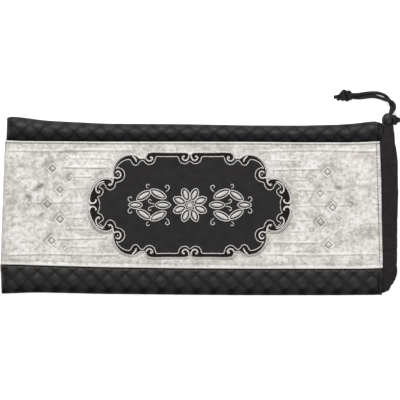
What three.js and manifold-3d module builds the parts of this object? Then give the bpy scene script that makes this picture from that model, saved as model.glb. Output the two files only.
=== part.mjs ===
// Shofar bag: a flat padded pouch with quilted bands, an embossed front panel, a lobed plaque
// and a drawstring mouth, lying on its back. Millimetres, +Z up, +X towards the mouth.
// The origin is on the ground under the middle of the bag; the cord's own pieces reach past it.
import * as THREE from 'three';
import { mergeVertices } from 'three/addons/utils/BufferGeometryUtils.js';
import Module from 'manifold-3d';

const wasm = await Module();
wasm.setup();

// Driving dimensions of the pouch
const BAG_LENGTH = 380.5;        // closed end to mouth seam
const BAG_WIDTH = 176.4;         // across, over the bands
const SEAM_LEVEL = 7.6;          // height of the side seams
const PANEL_LEVEL = 16.4;        // outer face of the front panel above the ground
const BACK_WALL = 2.4;
const BAND_WALL = 2.2;
const PANEL_WALL = 1.8;
const SIDE_ROUND = 12;           // plan depth of the rounding along the long edges
const END_ROUND = 10;            // plan depth of the rounding at the closed end
const SEAM_GAP = 0.3;            // clearance between pieces that are sewn together
const HEM_WIDTH = 1.6;           // turned edge of the front panel
const HEM_HEIGHT = 0.5;
const QUILT_PITCH = 17.64;       // length of one quilted diamond
const QUILT_HEIGHT = 1.1;        // puff of a diamond above its sewn grooves

// Driving dimensions of the drawstring casing
const CASING_WIDTH = 15.8;
const CASING_WALL = 1.0;
const CORD_DIAMETER = 3.3;
const CASING_CLEARANCE = 0.32;   // around the drawstring inside the casing
const GATHER_HEIGHT = 0.35;      // soft folds along the casing
const GATHER_PITCH = 11;

// Driving dimensions of the plaque
const PLAQUE_LENGTH = 201;
const PLAQUE_WIDTH = 102.4;
const PLAQUE_THICKNESS = 1.2;
const PLAQUE_FROM_END = 189;     // closed end to the middle of the plaque
const PLAQUE_ACROSS = 1.5;       // middle of the plaque above the bag's middle line
const ORNAMENT_LENGTH = 120;
const ORNAMENT_HEIGHT = 0.8;     // satin relief above the plaque

// Driving dimensions of the bead and the knots
const BEAD_DIAMETER = 12.4;
const BORE_CLEARANCE = 0.25;
const BEAD_TURN = 20;            // degrees that the bore leans towards the mouth
const STRAND_GAP = 0.3;          // between the two strands where they lie side by side
const KNOT_WIDTH = 11;
const END_KNOT_HEIGHT = 8.6;
const END_KNOT_REACH = 0.765;    // strands' end to the knot's middle, as a share of its width
const BEAD_KNOT_LEVEL = 0.48;     // share of its width
const BEAD_KNOT_OFFSET = { x: 8, y: -0.8 };  // knot's middle from the bead's middle

// Rows along the bag: edges and panel seams as shares of half the bag's width
const OUTLINE = [
  { along: 0, topEdge: 0.984, topSeam: 0.748, lowSeam: -0.665, lowEdge: -0.977 },
  { along: 0.026, topEdge: 1, topSeam: 0.741, lowSeam: -0.668, lowEdge: -0.972 },
  { along: 0.058, topEdge: 0.98, topSeam: 0.738, lowSeam: -0.671, lowEdge: -0.968 },
  { along: 0.101, topEdge: 0.956, topSeam: 0.737, lowSeam: -0.678, lowEdge: -0.969 },
  { along: 0.26, topEdge: 0.922, topSeam: 0.731, lowSeam: -0.697, lowEdge: -0.985 },
  { along: 0.47, topEdge: 0.916, topSeam: 0.731, lowSeam: -0.711, lowEdge: -0.995 },
  { along: 0.65, topEdge: 0.902, topSeam: 0.729, lowSeam: -0.716, lowEdge: -1 },
  { along: 0.79, topEdge: 0.9, topSeam: 0.724, lowSeam: -0.716, lowEdge: -1 },
  { along: 0.892, topEdge: 0.911, topSeam: 0.723, lowSeam: -0.716, lowEdge: -1 },
  { along: 0.944, topEdge: 0.929, topSeam: 0.725, lowSeam: -0.716, lowEdge: -0.998 },
  { along: 0.975, topEdge: 0.95, topSeam: 0.731, lowSeam: -0.713, lowEdge: -0.997 },
  { along: 1, topEdge: 0.932, topSeam: 0.738, lowSeam: -0.705, lowEdge: -0.995 },
];

// Rows across the closed end: how far its edge lies inside the bag's length, as a share of it
const CLOSED_END = [
  { across: -1, inset: 0.004 },
  { across: -0.8, inset: 0.002 },
  { across: -0.666, inset: 0 },
  { across: -0.4, inset: 0.002 },
  { across: 0.3, inset: 0.0075 },
  { across: 0.73, inset: 0.0115 },
  { across: 0.76, inset: 0.0165 },
  { across: 1, inset: 0.0185 },
];

// Rows along the casing, from the top of the front leg round the lower corner to the back leg:
// across as a share of half the bag's width, level as a share of the way from the back leg's
// middle to the front leg's middle, width as a share of the casing's width
const CASING_ROUTE = [
  { across: 0.888, level: 0.56, width: 0.71 },
  { across: 0.84, level: 0.69, width: 0.73 },
  { across: 0.76, level: 0.84, width: 0.77 },
  { across: 0.64, level: 0.965, width: 0.86 },
  { across: 0.5, level: 1, width: 0.93 },
  { across: 0.2, level: 1, width: 1 },
  { across: -0.1, level: 1, width: 1 },
  { across: -0.45, level: 1, width: 0.98 },
  { across: -0.7, level: 0.98, width: 0.94 },
  { across: -0.84, level: 0.86, width: 0.82 },
  { across: -0.93, level: 0.62, width: 0.6 },
  { across: -0.94, level: 0.36, width: 0.55 },
  { across: -0.87, level: 0.09, width: 0.7 },
  { across: -0.74, level: 0.012, width: 0.88 },
  { across: -0.4, level: 0, width: 0.97 },
  { across: 0, level: 0, width: 0.99 },
  { across: 0.45, level: 0, width: 0.93 },
  { across: 0.7, level: 0, width: 0.82 },
  { across: 0.82, level: 0.008, width: 0.74 },
  { across: 0.888, level: 0.035, width: 0.71 },
];

// Route of the doubled cord, from the casing through the bead to the end knot. x, y, z is the
// middle of the pair in mm, spread the distance between the strands' middles as a multiple of
// their pitch, and turn the roll of the pair in degrees: 90 has strand a above strand b.
// The strands cross once, where the turn comes back to 90.
const CORD_ROUTE = [
  { x: 188.1, y: 78.9, z: 6.25, spread: 1.6, turn: 90 },
  { x: 187.8, y: 80.5, z: 6.25, spread: 1.3, turn: 90 },
  { x: 187.8, y: 82.0, z: 6.25, spread: 1.07, turn: 90 },
  { x: 188.2, y: 83.8, z: 6.2, spread: 1, turn: 90 },
  { x: 189.1, y: 86.4, z: 6.2, spread: 1, turn: 90 },
  { x: 190.1, y: 89.1, z: 6.2, spread: 1, turn: 90 },
  { x: 191.4, y: 91.9, z: 6.1, spread: 1, turn: 86 },
  { x: 192.9, y: 94.9, z: 5.3, spread: 1, turn: 68 },
  { x: 194.1, y: 97.8, z: 4.3, spread: 1, turn: 44 },
  { x: 194.2, y: 100.4, z: 3.6, spread: 1, turn: 36 },
  { x: 193.0, y: 102.9, z: 3.5, spread: 1, turn: 52 },
  { x: 191.0, y: 105.1, z: 3.7, spread: 1, turn: 90 },
  { x: 188.3, y: 107.2, z: 3.4, spread: 1, turn: 132 },
  { x: 184.6, y: 109.3, z: 2.4, spread: 1.1, turn: 164 },
  { x: 180.2, y: 110.8, z: 1.8, spread: 1.14, turn: 180 },
  { x: 175.4, y: 111.5, z: 1.7, spread: 1, turn: 180 },
  { x: 170.0, y: 111.3, z: 1.7, spread: 1, turn: 180 },
  { x: 164.6, y: 110.6, z: 1.85, spread: 1, turn: 184 },
  { x: 159.6, y: 110.0, z: 2.6, spread: 1, turn: 205 },
  { x: 154.8, y: 110.1, z: 3.5, spread: 1, turn: 225 },
];

// Centres of the lumps of each knot from its middle, with half-sizes, as shares of its width
const END_KNOT_LUMPS = [
  { x: 0.08, y: 0.0, z: 0.0, long: 0.5, wide: 0.42, high: 0.4, turn: 20 },
  { x: 0.3, y: -0.04, z: -0.02, long: 0.33, wide: 0.42, high: 0.36, turn: 70 },
  { x: -0.1, y: 0.22, z: 0.02, long: 0.32, wide: 0.26, high: 0.36, turn: 60 },
  { x: -0.33, y: 0.12, z: -0.04, long: 0.26, wide: 0.3, high: 0.32, turn: 0 },
  { x: -0.72, y: -0.06, z: -0.24, long: 0.5, wide: 0.15, high: 0.15, turn: 8 },
  { x: -0.52, y: -0.26, z: -0.24, long: 0.42, wide: 0.15, high: 0.15, turn: 32 },
];
const BEAD_KNOT_LUMPS = [
  { x: 0, y: 0, z: 0.02, long: 0.38, wide: 0.44, high: 0.5, turn: 0 },
  { x: -0.02, y: 0.3, z: 0.08, long: 0.3, wide: 0.24, high: 0.36, turn: 30 },
  { x: 0.02, y: -0.28, z: 0.04, long: 0.3, wide: 0.26, high: 0.36, turn: -25 },
  { x: 0.18, y: 0.02, z: -0.06, long: 0.2, wide: 0.3, high: 0.4, turn: 0 },
];

// Petals of the ornament: place and size as shares of its length, turn in degrees from +X.
// Each row past the centre is mirrored to the other side.
const ORNAMENT_PETALS = [
  { x: 0.225, y: 0, long: 0.13, wide: 0.06, turn: 0 },
  { x: 0.265, y: 0.092, long: 0.15, wide: 0.062, turn: 26 },
  { x: 0.265, y: -0.092, long: 0.15, wide: 0.062, turn: -26 },
  { x: 0.385, y: 0.078, long: 0.14, wide: 0.06, turn: -32 },
  { x: 0.385, y: -0.078, long: 0.14, wide: 0.06, turn: 32 },
  { x: 0.44, y: 0, long: 0.115, wide: 0.06, turn: 0 },
];
const ROSETTE_PETALS = 8;
const ROSETTE = { middle: 0.094, long: 0.11, wide: 0.064 };  // shares of the ornament's length

const OVERALL_LENGTH = BAG_LENGTH + SEAM_GAP + CASING_WIDTH;
const CLOSED_X = -OVERALL_LENGTH / 2;
const MOUTH_X = CLOSED_X + BAG_LENGTH;
const CASING_X = MOUTH_X + SEAM_GAP;
const HALF_WIDTH = BAG_WIDTH / 2;

const BLACK_QUILT = { color: 0x2b2b2d, roughness: 0.55, metalness: 0 };
const CREAM_PANEL = { color: 0xd6d3cb, roughness: 0.5, metalness: 0 };
const BLACK_LEATHER = { color: 0x2c2c2e, roughness: 0.6, metalness: 0 };
const CASING_FABRIC = { color: 0x262628, roughness: 0.85, metalness: 0 };
const CORD_BLACK = { color: 0x1e1e20, roughness: 0.8, metalness: 0 };
const BEAD_BLACK = { color: 0x18181a, roughness: 0.25, metalness: 0 };

const radians = THREE.MathUtils.degToRad;

function along(table, key, share, column) {
  const last = table.length - 1;
  let row = 0;
  while (row < last - 1 && share > table[row + 1][key]) row += 1;
  const from = table[row];
  const to = table[row + 1];
  const blend = THREE.MathUtils.clamp((share - from[key]) / (to[key] - from[key]), 0, 1);
  return THREE.MathUtils.lerp(from[column], to[column], blend);
}

function outline(share, column) {
  return along(OUTLINE, 'along', share, column) * HALF_WIDTH;
}

// A rounded edge: how far in from the edge a point of a wall lies, and how much of the full
// height it has, for an outer face or for a face set in by the wall
function edgeRound(distance, depth, inset) {
  if (distance >= depth) return { reach: distance, lift: 1 };
  const cosine = (depth - distance) / depth;
  return { reach: depth - (depth - inset) * cosine, lift: Math.sqrt(1 - cosine * cosine) };
}

// A point of one of the pouch's faces at a distance from the closed end. flank is its rounding
// towards the long edge, and rise the face's full height over the seam, or less than none for
// a face under it.
function facePoint(fromEnd, y, flank, rise, inset) {
  const end = edgeRound(fromEnd, END_ROUND, inset);
  const closed = along(CLOSED_END, 'across', y / HALF_WIDTH, 'inset') * BAG_LENGTH;
  const taper = 1 - end.reach / BAG_LENGTH;
  const level = SEAM_LEVEL + (Math.sign(rise) * SEAM_GAP) / 2;
  return [CLOSED_X + closed * taper + end.reach, y, level + rise * end.lift * flank.lift];
}

// A closed wall between two faces that share one grid of columns along X and rows along Y
function wall(columns, rows, upper, lower, risingDiagonal = () => true) {
  const positions = [];
  for (const face of [upper, lower]) {
    for (let i = 0; i <= columns; i += 1) {
      for (let j = 0; j <= rows; j += 1) positions.push(...face(i, j));
    }
  }
  const sheet = (columns + 1) * (rows + 1);
  const top = (i, j) => i * (rows + 1) + j;
  const low = (i, j) => sheet + top(i, j);
  const index = [];
  const quad = (a, b, c, d, rising = true) => {
    if (rising) index.push(a, b, c, a, c, d);
    else index.push(a, b, d, b, c, d);
  };
  for (let i = 0; i < columns; i += 1) {
    for (let j = 0; j < rows; j += 1) {
      quad(top(i, j), top(i + 1, j), top(i + 1, j + 1), top(i, j + 1), risingDiagonal(i, j));
      quad(low(i, j), low(i, j + 1), low(i + 1, j + 1), low(i + 1, j));
    }
    quad(top(i, 0), low(i, 0), low(i + 1, 0), top(i + 1, 0));
    quad(top(i + 1, rows), low(i + 1, rows), low(i, rows), top(i, rows));
  }
  for (let j = 0; j < rows; j += 1) {
    quad(top(0, j), top(0, j + 1), low(0, j + 1), low(0, j));
    quad(top(columns, j), low(columns, j), low(columns, j + 1), top(columns, j + 1));
  }
  const geometry = new THREE.BufferGeometry();
  geometry.setAttribute('position', new THREE.Float32BufferAttribute(positions, 3));
  geometry.setIndex(index);
  geometry.computeVertexNormals();
  return geometry;
}

// Distances from the closed end: a few through its rounding, then even steps to the mouth
function stationsAlong(step) {
  const stations = [0, 0.13, 0.5, 1].map((share) => share * END_ROUND);
  const steps = Math.round((BAG_LENGTH - END_ROUND) / step);
  for (let k = 1; k <= steps; k += 1) {
    stations.push(END_ROUND + ((BAG_LENGTH - END_ROUND) * k) / steps);
  }
  return stations;
}

// Height of the quilting at a station and row: diamonds whose grooves cross at every other
// corner of a grid of half pitches
function quiltHeight(column, row) {
  return (column + row) % 2 === 0 ? 0 : QUILT_HEIGHT;
}

// A quilted band: rows are shares of its width from the panel seam to the bag's edge
function bandGeometry(edgeColumn, seamColumn, side, rowShares) {
  const stations = stationsAlong(QUILT_PITCH / 2);
  const endColumns = 3;
  const face = (inset, puffed) => (i, j) => {
    const share = stations[i] / BAG_LENGTH;
    const edge = outline(share, edgeColumn);
    const seam = outline(share, seamColumn) + (side * SEAM_GAP) / 2;
    const inward = Math.abs(edge - seam) * (1 - rowShares[j]);
    const quilted = puffed && i >= endColumns && j < rowShares.length - 2;
    const puff = quilted ? quiltHeight(i, j) : 0;
    const flank = edgeRound(inward, SIDE_ROUND, inset);
    const rise = PANEL_LEVEL - SEAM_LEVEL - inset - QUILT_HEIGHT / 2 + puff;
    return facePoint(stations[i], edge - side * flank.reach, flank, rise, inset);
  };
  const order = side > 0 ? (j) => j : (j) => rowShares.length - 1 - j;
  const outer = face(0, true);
  const inner = face(BAND_WALL, false);
  const rising = (i, j) => {
    const row = side > 0 ? j : rowShares.length - 2 - j;
    const lowFirst = (i + row) % 2 === 0;
    return side > 0 ? lowFirst : !lowFirst;
  };
  return wall(
    stations.length - 1,
    rowShares.length - 1,
    (i, j) => outer(i, order(j)),
    (i, j) => inner(i, order(j)),
    rising,
  );
}

// The front panel: flat between the band seams, with a turned hem along both, and curling
// down to the seam at the closed end
function panelGeometry() {
  const stations = stationsAlong(PLAQUE_WIDTH / 4);
  const hem = HEM_WIDTH / HALF_WIDTH;
  const shares = [0, hem / 2, hem, 0.2, 0.4, 0.6, 0.8, 1 - hem, 1 - hem / 2, 1];
  const hemRows = [0, 1, shares.length - 2, shares.length - 1];
  const face = (inset) => (i, j) => {
    const share = stations[i] / BAG_LENGTH;
    const low = outline(share, 'lowSeam') + SEAM_GAP / 2;
    const high = outline(share, 'topSeam') - SEAM_GAP / 2;
    const y = THREE.MathUtils.lerp(low, high, shares[j]);
    const fold = inset === 0 && hemRows.includes(j) ? HEM_HEIGHT : 0;
    const rise = PANEL_LEVEL - SEAM_LEVEL - inset + fold;
    return facePoint(stations[i], y, edgeRound(SIDE_ROUND, SIDE_ROUND, inset), rise, inset);
  };
  return wall(stations.length - 1, shares.length - 1, face(0), face(PANEL_WALL));
}

// The back: flat on the ground, curling up to the side seams
function backGeometry() {
  const stations = stationsAlong(BAG_LENGTH / 12);
  const distances = [0, 0.12, 0.45, 1].map((share) => share * SIDE_ROUND);
  const rows = [
    ...distances.map((inward) => ({ line: 'lowEdge', side: -1, inward })),
    { line: 'lowSeam', side: 0, inward: SIDE_ROUND },
    { line: 'topSeam', side: 0, inward: SIDE_ROUND },
    ...distances.toReversed().map((inward) => ({ line: 'topEdge', side: 1, inward })),
  ];
  const face = (inset) => (i, j) => {
    const row = rows[j];
    const flank = edgeRound(row.inward, SIDE_ROUND, inset);
    const y = outline(stations[i] / BAG_LENGTH, row.line) - row.side * flank.reach;
    return facePoint(stations[i], y, flank, inset - SEAM_LEVEL + SEAM_GAP / 2, inset);
  };
  return wall(stations.length - 1, rows.length - 1, face(BACK_WALL), face(0));
}

const CASING_HALF = CORD_DIAMETER / 2 + CASING_CLEARANCE + CASING_WALL;
const FRONT_LEG = PANEL_LEVEL - PANEL_WALL / 2 - CASING_HALF / 3;

// The middle line of the casing, which the drawstring follows inside it
function casingCurve() {
  const points = CASING_ROUTE.map((row) => new THREE.Vector3(
    CASING_X + (row.width * CASING_WIDTH) / 2,
    row.across * HALF_WIDTH,
    THREE.MathUtils.lerp(CASING_HALF, FRONT_LEG, row.level),
  ));
  return new THREE.CatmullRomCurve3(points, false, 'centripetal');
}

const CASING_STEPS = 44;
const CASING_SIDES = 12;

// The casing: a flat oval tunnel swept round the mouth, open at both ends
function casingGeometry() {
  const curve = casingCurve();
  const samples = curve.getSpacedPoints(CASING_STEPS);
  const spacing = curve.getLength() / CASING_STEPS;
  const positions = [];
  for (const inset of [0, CASING_WALL]) {
    samples.forEach((middle, k) => {
      const before = samples[Math.max(k - 1, 0)];
      const after = samples[Math.min(k + 1, CASING_STEPS)];
      const ty = after.y - before.y;
      const tz = after.z - before.z;
      const size = Math.hypot(ty, tz);
      const halfWidth = middle.x - CASING_X;
      const gather = inset === 0 ? Math.sin((2 * Math.PI * k * spacing) / GATHER_PITCH) ** 2 : 0;
      for (let n = 0; n < CASING_SIDES; n += 1) {
        const angle = (2 * Math.PI * n) / CASING_SIDES;
        const wide = Math.sign(Math.cos(angle)) * Math.abs(Math.cos(angle)) ** 0.8;
        const high = Math.sign(Math.sin(angle)) * Math.abs(Math.sin(angle)) ** 0.6;
        const towardsMouth = Math.max(wide, 0);
        const sideways = wide * (halfWidth - inset) - towardsMouth * gather * GATHER_HEIGHT;
        const upwards = high * (CASING_HALF - inset);
        positions.push(
          middle.x + sideways,
          middle.y + (upwards * tz) / size,
          Math.max(middle.z - (upwards * ty) / size, 0),
        );
      }
    });
  }
  const ring = (k, n) => k * CASING_SIDES + (n % CASING_SIDES);
  const tunnel = (CASING_STEPS + 1) * CASING_SIDES;
  const index = [];
  const quad = (a, b, c, d) => index.push(a, b, c, a, c, d);
  for (let n = 0; n < CASING_SIDES; n += 1) {
    for (let k = 0; k < CASING_STEPS; k += 1) {
      quad(ring(k, n), ring(k, n + 1), ring(k + 1, n + 1), ring(k + 1, n));
      quad(
        tunnel + ring(k, n),
        tunnel + ring(k + 1, n),
        tunnel + ring(k + 1, n + 1),
        tunnel + ring(k, n + 1),
      );
    }
    quad(ring(0, n), tunnel + ring(0, n), tunnel + ring(0, n + 1), ring(0, n + 1));
    const k = CASING_STEPS;
    quad(ring(k, n + 1), tunnel + ring(k, n + 1), tunnel + ring(k, n), ring(k, n));
  }
  const geometry = new THREE.BufferGeometry();
  geometry.setAttribute('position', new THREE.Float32BufferAttribute(positions, 3));
  geometry.setIndex(index);
  geometry.computeVertexNormals();
  return geometry;
}

// A round cord of eight sides along a curve
function cordGeometry(curve, steps) {
  const section = [];
  for (let n = 0; n < 8; n += 1) {
    const angle = (Math.PI * n) / 4;
    section.push(new THREE.Vector2(Math.cos(angle), Math.sin(angle)).multiplyScalar(CORD_DIAMETER / 2));
  }
  return new THREE.ExtrudeGeometry(new THREE.Shape(section), { steps, extrudePath: curve });
}

const STRAND_PITCH = CORD_DIAMETER + STRAND_GAP;

// One strand of the doubled cord: side is 1 for strand a and -1 for strand b
function strandCurve(side) {
  const points = CORD_ROUTE.map((row, k) => {
    const before = CORD_ROUTE[Math.max(k - 1, 0)];
    const after = CORD_ROUTE[Math.min(k + 1, CORD_ROUTE.length - 1)];
    const heading = new THREE.Vector2(after.x - before.x, after.y - before.y).normalize();
    const offset = (side * row.spread * STRAND_PITCH) / 2;
    const level = Math.cos(radians(row.turn)) * offset;
    return new THREE.Vector3(
      row.x + heading.y * level,
      row.y - heading.x * level,
      row.z + Math.sin(radians(row.turn)) * offset,
    );
  });
  return new THREE.CatmullRomCurve3(points, false, 'centripetal');
}

// The bead: a ball bored for two strands, its bore flared at both mouths
function beadGeometry() {
  const radius = BEAD_DIAMETER / 2;
  const bore = STRAND_PITCH / 2 + CORD_DIAMETER / 2 + BORE_CLEARANCE;
  const mouth = Math.asin((bore + BORE_CLEARANCE * 2) / radius);
  const throat = 0.5 * radius;
  const profile = [new THREE.Vector2(bore, -throat), new THREE.Vector2(bore, throat)];
  const steps = 10;
  for (let k = 0; k <= steps; k += 1) {
    const angle = THREE.MathUtils.lerp(mouth, Math.PI - mouth, k / steps);
    profile.push(new THREE.Vector2(radius * Math.sin(angle), radius * Math.cos(angle)));
  }
  profile.push(profile[0].clone());
  return new THREE.LatheGeometry(profile.reverse(), 16);
}

function toSolid(geometry) {
  const bare = geometry.clone();
  bare.deleteAttribute('normal');
  bare.deleteAttribute('uv');
  const merged = mergeVertices(bare, 1e-4);
  return new wasm.Manifold(new wasm.Mesh({
    numProp: 3,
    vertProperties: new Float32Array(merged.attributes.position.array),
    triVerts: new Uint32Array(merged.index.array),
  }));
}

function toGeometry(solid) {
  const mesh = solid.getMesh();
  const geometry = new THREE.BufferGeometry();
  geometry.setAttribute('position', new THREE.BufferAttribute(mesh.vertProperties, 3));
  geometry.setIndex(new THREE.BufferAttribute(mesh.triVerts, 1));
  geometry.computeVertexNormals();
  return geometry;
}

function union(geometries) {
  const [first, ...rest] = geometries.map(toSolid);
  return toGeometry(rest.reduce((whole, piece) => whole.add(piece), first));
}

// A knot as the rounded lumps of its turns and tails, flattened where it lies on the ground
// and hollowed where it lies against a neighbour
function knotGeometry(lumps, level, neighbours = []) {
  const ground = new THREE.BoxGeometry(8 * KNOT_WIDTH, 8 * KNOT_WIDTH, 2 * KNOT_WIDTH);
  ground.translate(0, 0, -KNOT_WIDTH - level);
  const rounded = lumps.map((lump) => {
    const ball = new THREE.SphereGeometry(1, 10, 7);
    ball.rotateX(Math.PI / 2);
    ball.scale(lump.long * KNOT_WIDTH, lump.wide * KNOT_WIDTH, lump.high * KNOT_WIDTH);
    ball.rotateZ(radians(lump.turn));
    ball.translate(lump.x * KNOT_WIDTH, lump.y * KNOT_WIDTH, lump.z * KNOT_WIDTH);
    return ball;
  });
  const cutters = [ground, ...neighbours].map(toSolid);
  return toGeometry(cutters.reduce((knot, cutter) => knot.subtract(cutter), toSolid(union(rounded))));
}

// A quarter of the plaque's outline, as shares of its half length and half width: a flat top
// bar, a neck, a round lobe, a shoulder lobe and a notch on the long axis
function plaqueShape() {
  const quarter = new THREE.Path();
  const across = PLAQUE_LENGTH / 2;
  const up = PLAQUE_WIDTH / 2;
  const lobe = { x: 0.607 * across, y: 0.655 * up, radius: 0.283 * up };
  quarter.moveTo(0, up);
  quarter.lineTo(0.4 * across, up);
  quarter.quadraticCurveTo(0.436 * across, up, 0.438 * across, 0.88 * up);
  quarter.lineTo(0.5 * across, 0.88 * up);
  quarter.absarc(lobe.x, lobe.y, lobe.radius, radians(105), radians(-24), true);
  quarter.bezierCurveTo(
    0.86 * across, 0.54 * up,
    0.94 * across, 0.48 * up,
    0.965 * across, 0.33 * up,
  );
  quarter.quadraticCurveTo(1.005 * across, 0.18 * up, 0.998 * across, 0.08 * up);
  quarter.lineTo(0.965 * across, 0.04 * up);
  const points = quarter.getPoints(6);
  const mirrored = (sx, sy, list) => list.map((p) => new THREE.Vector2(p.x * sx, p.y * sy));
  const reversed = [...points].reverse();
  return new THREE.Shape([
    ...points,
    ...mirrored(1, -1, reversed).slice(0, -1),
    ...mirrored(-1, -1, points),
    ...mirrored(-1, 1, reversed).slice(0, -1),
  ]);
}

// A pointed petal along +X, centred on the origin
function petalShape(long, wide) {
  const petal = new THREE.Shape();
  petal.moveTo(-long / 2, 0);
  petal.quadraticCurveTo(0, -wide, long / 2, 0);
  petal.quadraticCurveTo(0, wide, -long / 2, 0);
  return petal;
}

function petalGeometry(petal, sign) {
  const shape = petalShape(petal.long * ORNAMENT_LENGTH, petal.wide * ORNAMENT_LENGTH);
  const root = PLAQUE_THICKNESS / 2;
  const geometry = new THREE.ExtrudeGeometry(shape, {
    depth: root + ORNAMENT_HEIGHT,
    bevelEnabled: false,
    curveSegments: 5,
  });
  geometry.rotateZ(sign > 0 ? radians(petal.turn) : Math.PI - radians(petal.turn));
  geometry.translate(sign * petal.x * ORNAMENT_LENGTH, petal.y * ORNAMENT_LENGTH, root);
  return geometry;
}

// The plaque with its raised satin ornament: a rosette between mirrored sprays of petals
function plaqueGeometry() {
  const plate = new THREE.ExtrudeGeometry(plaqueShape(), {
    depth: PLAQUE_THICKNESS,
    bevelEnabled: false,
  });
  const petals = ORNAMENT_PETALS.flatMap((petal) => [
    petalGeometry(petal, 1),
    petalGeometry(petal, -1),
  ]);
  for (let k = 0; k < ROSETTE_PETALS; k += 1) {
    const turn = (360 * k) / ROSETTE_PETALS;
    const x = ROSETTE.middle * Math.cos(radians(turn));
    const y = ROSETTE.middle * Math.sin(radians(turn));
    petals.push(petalGeometry({ ...ROSETTE, x, y, turn }, 1));
  }
  return union([plate, ...petals]);
}

const bag = new THREE.Group();

function addPiece(name, geometry, finish, place = [0, 0, 0]) {
  const mesh = new THREE.Mesh(geometry, new THREE.MeshStandardMaterial(finish));
  mesh.name = name;
  mesh.position.set(...place);
  bag.add(mesh);
  return mesh;
}

addPiece('back_panel', backGeometry(), BLACK_QUILT);
const topRows = [0, 0.52, 0.8, 0.94, 1];
const lowRows = [0, 0.14, 0.5, 0.86, 0.96, 1];
addPiece('top_band', bandGeometry('topEdge', 'topSeam', 1, topRows), BLACK_QUILT);
addPiece('bottom_band', bandGeometry('lowEdge', 'lowSeam', -1, lowRows), BLACK_QUILT);
addPiece('front_panel', panelGeometry(), CREAM_PANEL);

const plaquePlace = [CLOSED_X + PLAQUE_FROM_END, PLAQUE_ACROSS, PANEL_LEVEL + SEAM_GAP * 1.5];
addPiece('plaque', plaqueGeometry(), BLACK_LEATHER, plaquePlace);

addPiece('casing', casingGeometry(), CASING_FABRIC);
addPiece('drawstring', cordGeometry(casingCurve(), CASING_STEPS), CORD_BLACK);

const STRAND_STEPS = 30;
addPiece('cord_strand_a', cordGeometry(strandCurve(1), STRAND_STEPS), CORD_BLACK);
addPiece('cord_strand_b', cordGeometry(strandCurve(-1), STRAND_STEPS), CORD_BLACK);

const beadPlace = CORD_ROUTE.find((row) => row.y > 86);
const bead = addPiece('bead', beadGeometry(), BEAD_BLACK, [beadPlace.x, beadPlace.y, beadPlace.z]);
bead.rotation.z = -radians(BEAD_TURN);

// The end knot follows the last of the strands; the other knot lies against the bead and
// over the end of the casing
const cordEnd = CORD_ROUTE.at(-1);
const endKnotLevel = END_KNOT_HEIGHT / 2;
const endKnotPlace = [cordEnd.x - END_KNOT_REACH * KNOT_WIDTH, cordEnd.y, endKnotLevel];
addPiece('end_knot', knotGeometry(END_KNOT_LUMPS, endKnotLevel), CORD_BLACK, endKnotPlace);

const knotLevel = BEAD_KNOT_LEVEL * KNOT_WIDTH;
const knotPlace = [beadPlace.x + BEAD_KNOT_OFFSET.x, beadPlace.y + BEAD_KNOT_OFFSET.y, knotLevel];
const beadRoom = new THREE.SphereGeometry(BEAD_DIAMETER / 2 + SEAM_GAP, 24, 16);
beadRoom.translate(-BEAD_KNOT_OFFSET.x, -BEAD_KNOT_OFFSET.y, beadPlace.z - knotLevel);
addPiece('bead_knot', knotGeometry(BEAD_KNOT_LUMPS, knotLevel, [beadRoom]), CORD_BLACK, knotPlace);

export default bag;
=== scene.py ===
# Shofar bag, dressed: quilted and embossed leatherette, a satin-stitched plaque, a woven
# casing and a braided cord. Lengths are in millimetres here and turned to metres in meshes.
import math

import bpy
import numpy as np
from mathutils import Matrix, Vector
from mathutils.geometry import tessellate_polygon


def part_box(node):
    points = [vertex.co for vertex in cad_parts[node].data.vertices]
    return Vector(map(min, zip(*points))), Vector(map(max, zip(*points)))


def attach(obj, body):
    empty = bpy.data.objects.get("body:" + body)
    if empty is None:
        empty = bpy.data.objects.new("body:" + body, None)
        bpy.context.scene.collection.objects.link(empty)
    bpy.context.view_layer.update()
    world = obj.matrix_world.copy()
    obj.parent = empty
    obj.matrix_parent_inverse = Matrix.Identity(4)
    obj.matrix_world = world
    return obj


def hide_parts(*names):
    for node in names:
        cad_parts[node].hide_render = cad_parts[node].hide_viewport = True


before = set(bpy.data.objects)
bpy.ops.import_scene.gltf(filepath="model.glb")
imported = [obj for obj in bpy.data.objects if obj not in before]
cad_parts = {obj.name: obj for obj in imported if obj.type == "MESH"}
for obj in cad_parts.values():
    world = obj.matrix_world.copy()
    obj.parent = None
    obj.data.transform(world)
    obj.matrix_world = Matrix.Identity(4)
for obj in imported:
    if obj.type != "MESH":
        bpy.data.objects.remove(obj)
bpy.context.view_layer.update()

MM = 0.001


# Sizes of the pouch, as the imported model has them
BAG_WIDTH = 176.4
HALF_WIDTH = BAG_WIDTH / 2
SEAM_LEVEL = 7.6
PANEL_LEVEL = 16.4
SIDE_ROUND = 12
END_ROUND = 10
SEAM_GAP = 0.3
BACK_WALL = 2.4
BAND_WALL = 2.2
PANEL_WALL = 1.8
CLOSED_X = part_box("bottom_band")[0][0] / MM
MOUTH_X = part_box("bottom_band")[1][0] / MM
BAG_LENGTH = MOUTH_X - CLOSED_X

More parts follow.
